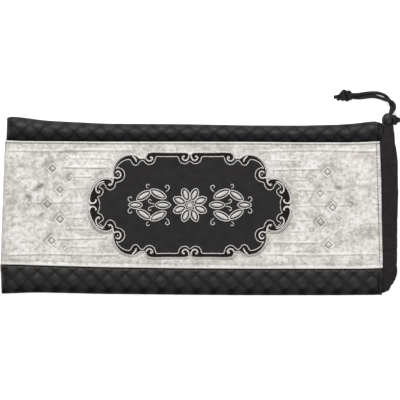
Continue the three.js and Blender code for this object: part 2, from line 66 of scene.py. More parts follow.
# Sizes of the casing, cord and bead
CASING_WIDTH = 15.8
CASING_WALL = 1.0
CORD_DIAMETER = 3.3
STRAND_PITCH = CORD_DIAMETER + 0.3
CASING_HALF = CORD_DIAMETER / 2 + 0.32 + CASING_WALL
FRONT_LEG = PANEL_LEVEL - PANEL_WALL / 2 - CASING_HALF / 3
CASING_X = MOUTH_X + SEAM_GAP
LOW_CORNER = 2.2  # how far the casing's lower corner stands out beside the mouth
CASING_STEP = 0.7
CASING_SIDES = 44
CASING_FOLDS = {
    # how high its wrinkles stand, and how far they sink all round
    "across": 0.42, "along": 0.35, "corner": 0.5, "sunk": 0.35,
}
BEAD_DIAMETER = 12.4
BEAD_ROW = 4  # the bead's middle in the cord's route
BEAD_SPREAD = 0.64  # the strands squeeze together in the bead's bore
BEAD_STRETCH = 1.13
BEAD_TURN = 20
BEAD_SIDES = 72

# Where the two strands part, and how far and how thin they get there
SLIT_PLACE = (183.2, 110)
SLIT_SPREAD = 0.15
SLIT_THINNING = 0.12
SLIT_LENGTH = 2.1

# The braid: how far its strands stand out of the cord's measured round, its meshes' steps, and
# how low cords and knots may lie
BRAID_SWELL = 0.24
CORD_STEP = 0.28
KNOT_STEP = 0.3
CORD_SIDES = 28
CORD_LOW = 0.03
KNOT_LOW = 0.05

# Quilting: a diamond's length, half its width, and how far it puffs
QUILT_PITCH = 17.6
QUILT_RISE = 7.7
PUFF = 1.15
SIDE_PUFF = 0.35
TOP_SOFTNESS = 0.75  # the top band's quilting is pulled flatter
PUFF_POWER = 0.62  # lower is fuller
PUCKER = 0.35
EDGE_FILL = 1.15  # the padding pushes the long edges and the closed end out this far
BULGES = {
    # side: how much further its edge stands out all along, then middle, width and height of each
    # place where it does so more
    1: (0, ((178, 5, 0.9), (-187.5, 4, 0.9))),
    -1: (0.35, ((-190, 22, 0.55),)),
}
BANDS = (
    # node, side, rows of the outline, a diamond's middle as a pixel along and mm from the seam
    ("top_band", 1, "top_edge", "top_seam", 30.2, 8),
    ("bottom_band", -1, "low_edge", "low_seam", 20, 13.7),
)
BACK_MIDDLE_PX = 20
BACK_GROOVE = 1.1
BACK_LOW = 0.02

# The bands' ends at the mouth and their edges along the panel's seam
MOUTH_GATHER = 0.5
GATHER_PITCH = 2.6
STITCHED_GROOVE = 3.6  # its distance from the mouth
GROOVE_WIDTH = 0.9
GROOVE_WAVE = 2.6  # radians in a mm, for its single stitches
SEAM_DIP = 1.5
SEAM_DIP_WIDTH = 5.5
TOP_SEAM_SHIFT = 0.3
CORNER_REACH = 2.2
CORNER_DROP = 1.9
LOW_REACH = 0.8
HEM = 1.6

# Steps of the meshes in mm, along and across, and of their inner faces in outer ones
BAND_STEPS = (0.8, 0.8)
BACK_STEPS = (1.25, 1.3)
QUILT_INNER = 8
PANEL_INNER = 10
PANEL_COLUMNS = 212
ROUND_STEPS = 60

# Plaque and its silver thread
PLAQUE_X = CLOSED_X + 189
PLAQUE_Y = 0.8
PLAQUE_CENTRE = np.array((PLAQUE_X, PLAQUE_Y))
PLAQUE_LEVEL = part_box("plaque")[0][2] / MM
PLAQUE_THICKNESS = 1.2
PLAQUE_TOP = PLAQUE_LEVEL + PLAQUE_THICKNESS
FRAME_STRETCH = 1.009
QUARTERS = ((1, 1), (-1, 1), (1, -1), (-1, -1))
THREAD = 0.3
THREAD_PITCH = 0.36
THREAD_TILT = 0.35
OUTLINE_THREAD = 1.0
BAR_STEPS = 5
EDGE_STEP = 0.7
STROKE_STEP = 0.2
THREAD_LIFT = {
    # how far over the panel or the plaque stitches start
    "rim": 0.1, "scrolls": 0.05,
}
CROWN = {
    # how high stitches arch
    "rim": 1.3, "scrolls": 0.5, "bulbs": 0.55, "lines": 0.45, "leaves": 0.85, "bud": 0.6,
}
SATIN_LEVELS = (-0.2, 0.18)  # of the black satin's two faces, from the plaque's top
PLAQUE_RINGS = (
    # inset from the outline and rise of each loop round the plaque's rounded edge
    (0.0, 0.0), (-0.1, 0.35), (0.0, 0.85), (0.35, 1.12), (0.9, PLAQUE_THICKNESS),
)

# The dark stitches beside the mouth: their row's ends, and each stitch's size
MOUTH_STITCHES = {
    "start": (176.9, 62), "end": (180.4, -57), "pitch": 3.1, "length": 2.0, "width": 0.7, "bow": 0.25,
}

# Lights in metres and watts
LIGHTS = (
    # name, place, size, power
    ("key", (-0.25, 1.45, 1.5), 0.9, 43),
    ("fill", (0.9, -1.2, 1.4), 1.4, 16),
)
FLOOR_HALF = 6

# The photograph's 400 pixel frame is 400 mm wide at the bag: the pixel over the origin, and
# the camera's distance
PIXEL_OF_ORIGIN = (199.3, 205.8)
CAMERA_LENS = 300
CAMERA_SENSOR = 36
CAMERA_SPAN = 400
CAMERA_FOCUS_LEVEL = 14

# Rows along the bag: edges and panel seams as shares of half its width
OUTLINE = {
    "along": (0, 0.026, 0.058, 0.101, 0.26, 0.47, 0.65, 0.79, 0.892, 0.944, 0.975, 1),
    "top_edge": (0.984, 1, 0.98, 0.956, 0.922, 0.916, 0.902, 0.9, 0.911, 0.929, 0.95, 0.932),
    "top_seam": (
        0.748, 0.741, 0.738, 0.737, 0.731, 0.731, 0.729, 0.724, 0.723, 0.725, 0.731, 0.738,
    ),
    "low_seam": (
        -0.665, -0.668, -0.671, -0.678, -0.697, -0.711, -0.716, -0.716, -0.716, -0.716, -0.713, -0.705,
    ),
    "low_edge": (-0.977, -0.972, -0.968, -0.969, -0.985, -0.995, -1, -1, -1, -0.998, -0.997, -0.995),
}
CLOSED_END = {
    "across": (-1, -0.8, -0.666, -0.4, 0.3, 0.73, 0.76, 1),
    "inset": (0.004, 0.002, 0, 0.002, 0.0075, 0.0115, 0.0165, 0.0185),
}

# Rows along the casing: across, level and width as shares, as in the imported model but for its
# start
CASING_ROUTE = (
    (0.912, 0.5, 0.71), (0.84, 0.69, 0.73), (0.76, 0.84, 0.77), (0.64, 0.965, 0.86),
    (0.5, 1, 0.93), (0.2, 1, 1), (-0.1, 1, 1), (-0.45, 1, 0.98), (-0.7, 0.98, 0.94),
    (-0.84, 0.86, 0.82), (-0.93, 0.62, 0.6), (-0.94, 0.36, 0.55), (-0.87, 0.09, 0.7),
    (-0.74, 0.012, 0.88), (-0.4, 0, 0.97), (0, 0, 0.99), (0.45, 0, 0.93), (0.7, 0, 0.82),
    (0.82, 0.008, 0.74), (0.888, 0.035, 0.71),
)

# Route of the doubled cord: x, y, z of the pair's middle, spread in strand pitches, roll
CORD_ROUTE = (
    (188.1, 78.9, 6.25, 1.6, 90), (187.8, 80.5, 6.25, 1.3, 90), (187.8, 82.0, 6.25, 1.07, 90),
    (188.2, 83.8, 6.2, 1, 90), (189.1, 86.4, 6.2, 1, 90), (190.1, 89.1, 6.2, 1, 90),
    (191.4, 91.9, 6.1, 1, 86), (192.9, 94.9, 5.3, 1, 68), (194.1, 97.8, 4.3, 1, 44),
    (194.2, 100.4, 3.6, 1, 36), (193.0, 102.9, 3.5, 1, 52), (191.0, 105.1, 3.7, 1, 90),
    (188.3, 107.2, 3.4, 1, 132), (184.6, 109.3, 2.4, 1.1, 164), (180.2, 110.8, 1.8, 1.14, 180),
    (175.4, 111.5, 1.7, 1, 180), (170.0, 111.3, 1.7, 1, 180), (164.6, 110.6, 1.85, 1, 184),
    (159.6, 110.0, 2.6, 1, 205), (154.8, 110.1, 3.5, 1, 225),
)


# Camera

def add_camera():
    data = bpy.data.cameras.new("camera")
    data.lens = CAMERA_LENS
    data.sensor_width = CAMERA_SENSOR
    camera = bpy.data.objects.new("camera", data)
    bpy.context.collection.objects.link(camera)
    distance = CAMERA_SPAN * CAMERA_LENS / CAMERA_SENSOR
    middle = CAMERA_SPAN / 2
    camera.location = (
        (middle - PIXEL_OF_ORIGIN[0]) * MM,
        (PIXEL_OF_ORIGIN[1] - middle) * MM,
        (CAMERA_FOCUS_LEVEL + distance) * MM,
    )
    data.clip_start = 0.05
    data.clip_end = 40
    bpy.context.scene.camera = camera


# Curves and small maths

def row_value(table, key, share, column):
    return np.interp(share, table[key], table[column])


def outline_at(share, column):
    """A row of the outline, eased beyond the closed end so that its points don't show as corners."""
    sharp = row_value(OUTLINE, "along", share, column)
    nudged = [np.clip(share + n, 0, 1) for n in np.linspace(-0.02, 0.02, 9)]
    soft = np.mean([row_value(OUTLINE, "along", near, column) for near in nudged], axis=0)
    return (sharp + (soft - sharp) * np.clip(share / 0.06, 0, 1)) * HALF_WIDTH


def catmull(points, per_span):
    """A centripetal Catmull-Rom curve through points, with equal steps of its parameter."""
    points = np.asarray(points, float)
    padded = np.vstack([2 * points[0] - points[1], points, 2 * points[-1] - points[-2]])
    made = []
    for k in range(1, len(padded) - 2):
        four = padded[k - 1:k + 3]
        knots = [0.0]
        for a, b in zip(four, four[1:]):
            knots.append(knots[-1] + max(np.linalg.norm(b - a) ** 0.5, 1e-6))
        t = np.linspace(knots[1], knots[2], per_span, endpoint=False)[:, None]

        def between(i, j, start, end):
            span = knots[j] - knots[i]
            return (knots[j] - t) / span * start + (t - knots[i]) / span * end

        once = [between(i, i + 1, four[i], four[i + 1]) for i in range(3)]
        twice = [between(i, i + 2, once[i], once[i + 1]) for i in range(2)]
        made.append(between(1, 2, *twice))
    made.append(points[-1:])
    return np.vstack(made)


def reach_along(line):
    """Each point's distance along a line."""
    return np.concatenate([[0], np.cumsum(np.linalg.norm(np.diff(line, axis=0), axis=1))])


def sampled(line, reach, at):
    return np.stack([np.interp(at, reach, column) for column in line.T], axis=1)


def spaced(line, step):
    """A line's points again, an even step apart."""
    reach = reach_along(line)
    count = max(3, int(round(reach[-1] / step)) + 1)
    return sampled(line, reach, np.linspace(0, reach[-1], count))


def unit(rows):
    return rows / np.linalg.norm(rows, axis=1, keepdims=True)


def circle(count):
    """Points once round a circle of radius 1, the last on the first."""
    turns = np.linspace(0, 2 * math.pi, count)
    return np.stack([np.cos(turns), np.sin(turns)], axis=1)


def turned(points, degrees):
    """Points in plan or in space, turned about Z."""
    c, s = math.cos(math.radians(degrees)), math.sin(math.radians(degrees))
    made = np.array(points, float)
    made[:, 0] = points[:, 0] * c - points[:, 1] * s
    made[:, 1] = points[:, 0] * s + points[:, 1] * c
    return made


def edge_round(distance, depth, inset):
    """Reach and lift of a face near a rounded edge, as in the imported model."""
    cosine = np.clip((depth - distance) / depth, 0, 1)
    reach = np.where(distance >= depth, distance, depth - (depth - inset) * cosine)
    return reach, np.sqrt(1 - cosine ** 2)


def smoothstep(low, high, value):
    t = np.clip((value - low) / (high - low), 0, 1)
    return t * t * (3 - 2 * t)


def bell(value, middle, width):
    """A bell curve, 1 at its middle."""
    return np.exp(-((value - middle) / width) ** 2)


def ripple(x, y, seed, scale, count=7):
    """A smooth uneven field about zero, the same for the same seed."""
    source = np.random.default_rng(seed)
    total = 0
    for _ in range(count):
        angle = source.uniform(0, 2 * math.pi)
        length = scale * source.uniform(0.6, 1.8)
        phase = source.uniform(0, 2 * math.pi)
        along = x * math.cos(angle) + y * math.sin(angle)
        total = total + np.sin(2 * math.pi * along / length + phase)
    return total / count


# Meshes

def new_mesh(name, points, polygons, material, smooth=True, fields=None):
    """A piece on the root body from points in mm and polygons as index arrays. Fields hold a
    value for each point, which the materials read."""
    mesh = bpy.data.meshes.new(name)
    points = np.asarray(points, float)
    polygons = [np.asarray(rows, np.int32) for rows in polygons]
    loops = np.concatenate([rows.ravel() for rows in polygons])
    counts = np.concatenate([np.full(len(rows), rows.shape[1], np.int32) for rows in polygons])
    starts = np.concatenate([[0], np.cumsum(counts)[:-1]]).astype(np.int32)
    mesh.vertices.add(len(points))
    mesh.vertices.foreach_set("co", (points * MM).astype(np.float32).ravel())
    mesh.loops.add(len(loops))
    mesh.loops.foreach_set("vertex_index", loops)
    mesh.polygons.add(len(counts))
    mesh.polygons.foreach_set("loop_start", starts)
    mesh.polygons.foreach_set("use_smooth", np.full(len(counts), smooth))
    mesh.update(calc_edges=True)
    mesh.validate()
    for field, values in (fields or {}).items():
        layer = mesh.attributes.new(field, "FLOAT", "POINT")
        layer.data.foreach_set("value", np.asarray(values, np.float32))
    mesh.materials.append(material)
    piece = bpy.data.objects.new(name, mesh)
    bpy.context.collection.objects.link(piece)
    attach(piece, "root")
    return piece


def grid_quads(base, rows, columns, flip=False):
    i, j = np.meshgrid(np.arange(rows - 1), np.arange(columns - 1), indexing="ij")
    a = base + i * columns + j
    quads = np.stack([a, a + columns, a + columns + 1, a + 1], axis=-1).reshape(-1, 4)
    return quads[:, ::-1] if flip else quads


def tube_quads(rows, sides, looped=False):
    """Quads round a tube's rows of points. A looped one joins its last row to its first."""
    i, j = np.meshgrid(np.arange(rows if looped else rows - 1), np.arange(sides), indexing="ij")
    here, there = i * sides, (i + 1) % rows * sides
    k = (j + 1) % sides
    return np.stack([here + j, here + k, there + k, there + j], axis=-1).reshape(-1, 4)


def side_quads(start, count, rise):
    """Quads between a clockwise loop of points and the same loop higher up, rise points later."""
    i = np.arange(count) + start
    j = np.roll(i, -1)
    return np.stack([j, i, i + rise, j + rise], axis=1)


def wall_piece(name, outer, inner_of, step, material, flip=False, fields=None):
    """A closed wall: a fine outer grid of points, along by across, and an inner face on every
    step-th row and column, joined round the rim. flip is for a wall whose outer face is below."""
    rows, columns = outer.shape[:2]
    rows_in = np.unique(np.append(np.arange(0, rows, step), rows - 1))
    columns_in = np.unique(np.append(np.arange(0, columns, step), columns - 1))
    inner = inner_of(rows_in, columns_in)
    base = rows * columns
    points = np.vstack([outer.reshape(-1, 3), inner.reshape(-1, 3)])
    quads = [
        grid_quads(0, rows, columns, flip),
        grid_quads(base, len(rows_in), len(columns_in), not flip),
    ]
    rim = []
    inner_index = base + np.arange(len(rows_in) * len(columns_in)).reshape(len(rows_in), -1)
    outer_index = np.arange(rows * columns).reshape(rows, columns)
    sides = (
        (outer_index[:, 0], inner_index[:, 0], rows_in, False),
        (outer_index[:, -1], inner_index[:, -1], rows_in, True),
        (outer_index[0], inner_index[0], columns_in, True),
        (outer_index[-1], inner_index[-1], columns_in, False),
    )
    for fine, coarse, at, swapped in sides:
        for k in range(len(at) - 1):
            for f in range(at[k], at[k + 1]):
                pair = (fine[f], fine[f + 1]) if swapped else (fine[f + 1], fine[f])
                rim.append((coarse[k], *pair))
            tail = (coarse[k], coarse[k + 1], fine[at[k + 1]])
            rim.append(tail[::-1] if swapped else tail)
    rim = np.array(rim)
    if flip:
        rim = rim[:, ::-1]
    padded = {
        key: np.concatenate([values.ravel(), np.zeros(len(points) - base)])
        for key, values in (fields or {}).items()
    }
    return new_mesh(name, points, [*quads, rim], material, fields=padded)


def frames_along(line):
    """A steady pair of normals at each point of a line."""
    tangents = unit(np.gradient(line, axis=0))
    normals = np.zeros_like(line)
    start = np.cross(tangents[0], (0, 0, 1))
    if np.linalg.norm(start) < 0.1:
        start = np.cross(tangents[0], (1, 0, 0))
    normals[0] = start / np.linalg.norm(start)
    for k in range(1, len(line)):
        moved = normals[k - 1] - tangents[k] * np.dot(normals[k - 1], tangents[k])
        normals[k] = moved / np.linalg.norm(moved)
    return normals, np.cross(tangents, normals)


def tube_mesh(line, radius, sides):
    """Points and polygons of a closed tube; radius is a function of distance along and angle."""
    normals, binormals = (vectors[:, None] for vectors in frames_along(line))
    angles = np.linspace(0, 2 * math.pi, sides, endpoint=False)
    r = radius(reach_along(line)[:, None], angles[None, :]) * np.ones((len(line), sides))
    cosine, sine = np.cos(angles)[None, :, None], np.sin(angles)[None, :, None]
    points = (line[:, None] + r[:, :, None] * (cosine * normals + sine * binormals)).reshape(-1, 3)
    n = len(points)
    j = np.arange(sides)
    k = (j + 1) % sides
    start = np.stack([np.full(sides, n), k, j], axis=-1)
    end = np.stack([np.full(sides, n + 1), n - sides + j, n - sides + k], axis=-1)
    return np.vstack([points, line[0], line[-1]]), [tube_quads(len(line), sides), start, end]


def join_parts(parts):
    """One set of points and polygons from several."""
    points = []
    by_size = {}
    base = 0
    for part_points, polygons in parts:
        points.append(part_points)
        for polygon in polygons:
            polygon = np.asarray(polygon)
            by_size.setdefault(polygon.shape[1], []).append(polygon + base)
        base += len(part_points)
    return np.vstack(points), [np.vstack(group) for group in by_size.values()]


# Materials

SCUFF_BROWN = (0.056, 0.039, 0.028)
# colour of the painted shade in the black leather's grooves and shaded places
PAINTED_SHADE_BLACK = (0.0035, 0.0033, 0.0034)
CREAM_BASE = ((0.565, 0.545, 0.515), (0.56, 0.525, 0.475))
CREAM_LAYERS = (
    # pattern, its value where the colour starts and where it is full, how much, colour
    ("clouds", 0.5, 0.6, 0.9, (0.665, 0.655, 0.63)),
    ("clouds", 0.5, 0.37, 0.8, (0.38, 0.365, 0.335)),
    ("blotches", 0.51, 0.66, 0.9, (0.31, 0.298, 0.27)),
    ("blotches", 0.47, 0.33, 0.9, (0.71, 0.70, 0.675)),
    ("specks", 0.53, 0.68, 0.5, (0.27, 0.258, 0.235)),
    ("specks", 0.46, 0.32, 0.45, (0.76, 0.75, 0.73)),
)
# pale of rubbed raised edges and of painted highlights
RUBBED_AND_HIGHLIGHT_PALE = (0.86, 0.85, 0.83)
# brown of the hollows' patina and of painted shade
PATINA_AND_SHADE_BROWN = (0.10, 0.086, 0.07)


class Nodes:
    """A material's nodes, with a short call for each kind that is used here. Sizes are in mm."""

    def __init__(self, name):
        self.material = bpy.data.materials.new(name)
        self.material.use_nodes = True
        self.tree = self.material.node_tree
        self.shader = self.tree.nodes["Principled BSDF"]
        self.place = self.add("ShaderNodeTexCoord").outputs["Object"]

    def add(self, kind, **values):
        node = self.tree.nodes.new(kind)
        for key, value in values.items():
            setattr(node, key, value)
        return node

    def put(self, socket, value):
        """Links a socket, or sets it to a number or a colour."""
        if isinstance(value, bpy.types.NodeSocket):
            self.tree.links.new(value, socket)
        else:
            socket.default_value = (*value, 1) if isinstance(value, tuple) else value

    def shade(self, values):
        """Puts values in the shader's sockets, and gives the material back."""
        for name, value in values.items():
            self.put(self.shader.inputs[name], value)
        return self.material

    def texture(self, kind, size, stretch=(1, 1, 1), **values):
        place = self.add("ShaderNodeMapping")
        self.put(place.inputs["Vector"], self.place)
        place.inputs["Scale"].default_value = [s / (size * MM) for s in stretch]
        node = self.add(kind, **values)
        self.put(node.inputs["Vector"], place.outputs["Vector"])
        self.put(node.inputs["Scale"], 1)
        return node

    def noise(self, size, detail=3.0, roughness=0.5, stretch=(1, 1, 1)):
        node = self.texture("ShaderNodeTexNoise", size, stretch)
        self.put(node.inputs["Detail"], detail)
        self.put(node.inputs["Roughness"], roughness)
        return node.outputs["Fac"]

    def cells(self, size):
        node = self.texture("ShaderNodeTexVoronoi", size, feature="SMOOTH_F1")
        return node.outputs["Distance"]

    def threads(self, direction, size, distortion=0.0):
        node = self.add("ShaderNodeTexWave", wave_type="BANDS", bands_direction=direction)
        self.put(node.inputs["Vector"], self.place)
        self.put(node.inputs["Scale"], 1 / (size * MM * math.pi))
        self.put(node.inputs["Distortion"], distortion)
        return node.outputs["Fac"]

    def field(self, name):
        return self.add("ShaderNodeAttribute", attribute_name=name).outputs["Fac"]

    def maths(self, operation, a, b):
        node = self.add("ShaderNodeMath", operation=operation)
        self.put(node.inputs[0], a)
        self.put(node.inputs[1], b)
        return node.outputs[0]

    def remap(self, value, low, high, to_low=0.0, to_high=1.0):
        node = self.add("ShaderNodeMapRange")
        names = ("Value", "From Min", "From Max", "To Min", "To Max")
        for name, setting in zip(names, (value, low, high, to_low, to_high)):
            self.put(node.inputs[name], setting)
        return node.outputs["Result"]

    def blend(self, factor, a, b):
        node = self.add("ShaderNodeMix", data_type="RGBA")
        for socket, value in ((0, factor), (6, a), (7, b)):
            self.put(node.inputs[socket], value)
        return node.outputs[2]

    def bump(self, height, distance):
        node = self.add("ShaderNodeBump")
        self.put(node.inputs["Distance"], distance * MM)
        self.put(node.inputs["Height"], height)
        return node.outputs["Normal"]


def black_leather(name, dark, light, grain, roughness, depth, gloss):
    """Pebbled black leatherette with a little wear: darkened and dulled by painted shade in its
    quilting grooves and shaded places, and brownish where it is scuffed."""
    n = Nodes(name)
    worn = n.blend(n.remap(n.noise(9, detail=4), 0.35, 0.7), dark, light)
    scuffs = n.maths("MULTIPLY", n.field("scuff"), n.remap(n.noise(1.1, detail=2), 0.4, 0.6))
    painted_shade = n.remap(n.field("painted_shade"), 0, 1)
    pebbles = n.maths("MULTIPLY", n.cells(grain), -1.0)
    fine = n.maths("MULTIPLY", n.noise(grain * 0.4, detail=2), 0.35)
    return n.shade({
        "Base Color": n.blend(painted_shade, n.blend(scuffs, worn, SCUFF_BROWN), PAINTED_SHADE_BLACK),
        "Roughness": n.remap(n.noise(3, detail=2), 0.3, 0.7, roughness - 0.06, roughness + 0.08),
        "Specular IOR Level": n.remap(painted_shade, 0, 1, gloss, gloss * 0.2),
        "Normal": n.bump(n.maths("ADD", pebbles, fine), depth),
    })


def woven_cloth(name, dark, light, thread, depth):
    """Plain black weave as two crossed rows of threads, with soft lint."""
    n = Nodes(name)
    weave = n.maths("MULTIPLY", n.threads("X", thread), n.threads("Y", thread))
    return n.shade({
        "Base Color": n.blend(n.remap(n.noise(6, detail=5), 0.35, 0.7), dark, light),
        "Roughness": 0.8,
        "Specular IOR Level": 0.15,
        "Sheen Weight": 0.02,
        "Sheen Roughness": 0.5,
        "Normal": n.bump(n.maths("ADD", weave, n.noise(0.6, detail=2)), depth),
    })


def cream_leather(name):
    """Cream and silver distressed leatherette: mottled, with dark patina rubbed into hollows and
    painted shade in its creases and shaded places, and painted highlights on its hem lips and round the
    plaque.
    """
    n = Nodes(name)
    patterns = {
        "clouds": n.noise(12, detail=6, roughness=0.6, stretch=(0.75, 1.1, 1)),
        "blotches": n.noise(4.2, detail=5, roughness=0.65),
        "specks": n.noise(1.5, detail=3, roughness=0.7),
    }
    colour = n.blend(n.remap(n.noise(26, detail=2), 0.4, 0.62), *CREAM_BASE)
    for pattern, start, full, most, paint in CREAM_LAYERS:
        colour = n.blend(n.remap(patterns[pattern], start, full, 0, most), colour, paint)
    # painted shade is laid on with the patina's brown, painted highlights with the rubbed pale
    for field, paint in (("rubbed_and_painted_highlight", RUBBED_AND_HIGHLIGHT_PALE), ("patina_and_painted_shade", PATINA_AND_SHADE_BROWN)):
        colour = n.blend(n.remap(n.field(field), 0, 1), colour, paint)
    grain = n.maths("MULTIPLY", n.cells(0.9), -0.8)
    return n.shade({
        "Base Color": colour,
        "Roughness": n.remap(patterns["clouds"], 0.3, 0.7, 0.58, 0.42),
        "Specular IOR Level": 0.4,
        "Normal": n.bump(n.maths("ADD", grain, n.noise(2.6, detail=4)), 0.2),
    })


def thread_material(name, colour, roughness, metallic, gloss):
    n = Nodes(name)
    darker = tuple(c * 0.78 for c in colour)
    return n.shade({
        "Base Color": n.blend(n.remap(n.noise(0.7, detail=2), 0.35, 0.65), darker, colour),
        "Roughness": roughness,
        "Metallic": metallic,
        "Specular IOR Level": gloss,
        "Normal": n.bump(n.noise(0.22, detail=1), 0.03),
    })


def satin_fill(name, colour):
    """Black satin stitching: close threads across the scroll bands, a touch glossier than leather."""
    n = Nodes(name)
    return n.shade({
        "Base Color": colour,
        "Roughness": 0.5,
        "Specular IOR Level": 0.1,
        "Normal": n.bump(n.threads("DIAGONAL", 0.4, distortion=1.5), 0.12),
    })


def braid_material(name):
    n = Nodes(name)
    lint = n.remap(n.noise(1.1, detail=3), 0.4, 0.65)
    return n.shade({
        "Base Color": n.blend(lint, (0.004, 0.004, 0.0042), (0.013, 0.013, 0.0135)),
        "Roughness": 0.62,
        "Specular IOR Level": 0.2,
        "Sheen Weight": 0.02,
        "Normal": n.bump(n.noise(0.25, detail=2), 0.05),
    })


def bead_material(name):
    n = Nodes(name)
    stain = n.remap(n.noise(4, detail=3), 0.4, 0.7)
    return n.shade({
        "Base Color": n.blend(stain, (0.008, 0.0075, 0.0075), (0.016, 0.015, 0.015)),
        "Roughness": n.remap(n.noise(1.5, detail=3), 0.3, 0.7, 0.46, 0.58),
        "Specular IOR Level": 0.35,
        "Normal": n.bump(n.noise(1.2, detail=2), 0.03),
    })


QUILT_LEATHER = black_leather(
    "quilt_leather", (0.0095, 0.0088, 0.0092), (0.0145, 0.0135, 0.014),
    grain=0.7, roughness=0.52, depth=0.08, gloss=0.28,
)
PLAQUE_LEATHER = black_leather(
    "plaque_leather", (0.0135, 0.012, 0.0122), (0.019, 0.0172, 0.0175),
    grain=0.55, roughness=0.6, depth=0.10, gloss=0.12,
)
CREAM_LEATHER = cream_leather("cream_leather")
CASING_CLOTH = woven_cloth(
    "casing_cloth", (0.010, 0.0085, 0.0088), (0.0165, 0.0142, 0.0147), thread=0.5, depth=0.06,
)
SILVER_THREAD = thread_material(
    "silver_thread", (0.92, 0.905, 0.875), roughness=0.4, metallic=0.1, gloss=0.5,
)
DARK_THREAD = thread_material(
    "dark_thread", (0.16, 0.145, 0.125), roughness=0.6, metallic=0.0, gloss=0.3,
)
BLACK_SATIN = satin_fill("black_satin", (0.011, 0.0092, 0.008))
CORD_BRAID = braid_material("cord_braid")
BEAD_BLACK = bead_material("bead_black")


# Quilted pieces

def quilt_puff(a, b):
    """Puff of the quilting from 0 in the sewn grooves to 1 at a diamond's middle, where a and b
    count half pitches along and across. Middles lie where a and b add to an odd number."""
    p, q = (a + b) / 2, (a - b) / 2
    swell = np.abs(np.sin(math.pi * p) * np.sin(math.pi * q))
    cell = np.sin(np.floor(p) * 12.9898 + np.floor(q) * 78.233) * 43758.5453
    uneven = 0.88 + 0.24 * (cell - np.floor(cell))
    return swell ** PUFF_POWER * uneven


def quilt_a(x, first_middle_px):
    return (x - (first_middle_px - PIXEL_OF_ORIGIN[0])) / (QUILT_PITCH / 2) + 1


def end_stations(step):
    """Distances from the closed end, closer together through its rounding."""
    rounding = END_ROUND * (1 - np.cos(np.linspace(0, math.pi / 2, 16)))
    flat = np.linspace(END_ROUND, BAG_LENGTH, int((BAG_LENGTH - END_ROUND) / step) + 1)
    return np.concatenate([rounding, flat[1:]])


def place_along(from_end, y, inset):
    """X of a face at a distance from the closed end, with the lift of that end's rounding."""
    reach, lift = edge_round(from_end, END_ROUND, inset)
    closed = row_value(CLOSED_END, "across", y / HALF_WIDTH, "inset") * BAG_LENGTH
    return CLOSED_X + closed * (1 - reach / BAG_LENGTH) + reach, lift


def flank_profile(rise):
    """Arc length against angle through a rounded long edge, from its foot to its top."""
    angle = np.linspace(0, math.pi / 2, ROUND_STEPS)
    y, z = SIDE_ROUND * (1 - np.cos(angle)), rise * np.sin(angle)
    arc = np.concatenate([[0], np.cumsum(np.hypot(np.diff(y), np.diff(z)))])
    return angle, arc


def band_end(from_end, y):
    """How far a band's end at the mouth reaches on, and how far its top corner drops."""
    near = smoothstep(BAG_LENGTH - 9, BAG_LENGTH, from_end)
    corner = smoothstep(71, 80, y)
    return near * (CORNER_REACH * corner + LOW_REACH * (y < 0)), near * corner * CORNER_DROP


def edge_bulge(side, x):
    """How far padding pushes a long edge out."""
    all_along, places = BULGES[side]
    return EDGE_FILL + sum((most * bell(x, middle, width) for middle, width, most in places), all_along)


def band_painted_shade_and_scuff(side, from_seam, from_edge, depth):
    """Painted shade on a band: in its quilting grooves, beside its seam, over all of the top band
    and towards the bottom band's foot; and where the bottom seam is scuffed.
    """
    if side > 0:
        shaded = 0.14 + 0.5 * bell(from_seam, 0, 7)
    else:
        shaded = 0.04 + 0.85 * smoothstep(14, 3, from_edge) + 0.2 * bell(from_seam, 3.5, 3.5)
    scuff = bell(from_seam, 1.1, 1.5) * (side < 0)
    return 0.58 * depth ** 1.5 + shaded, scuff


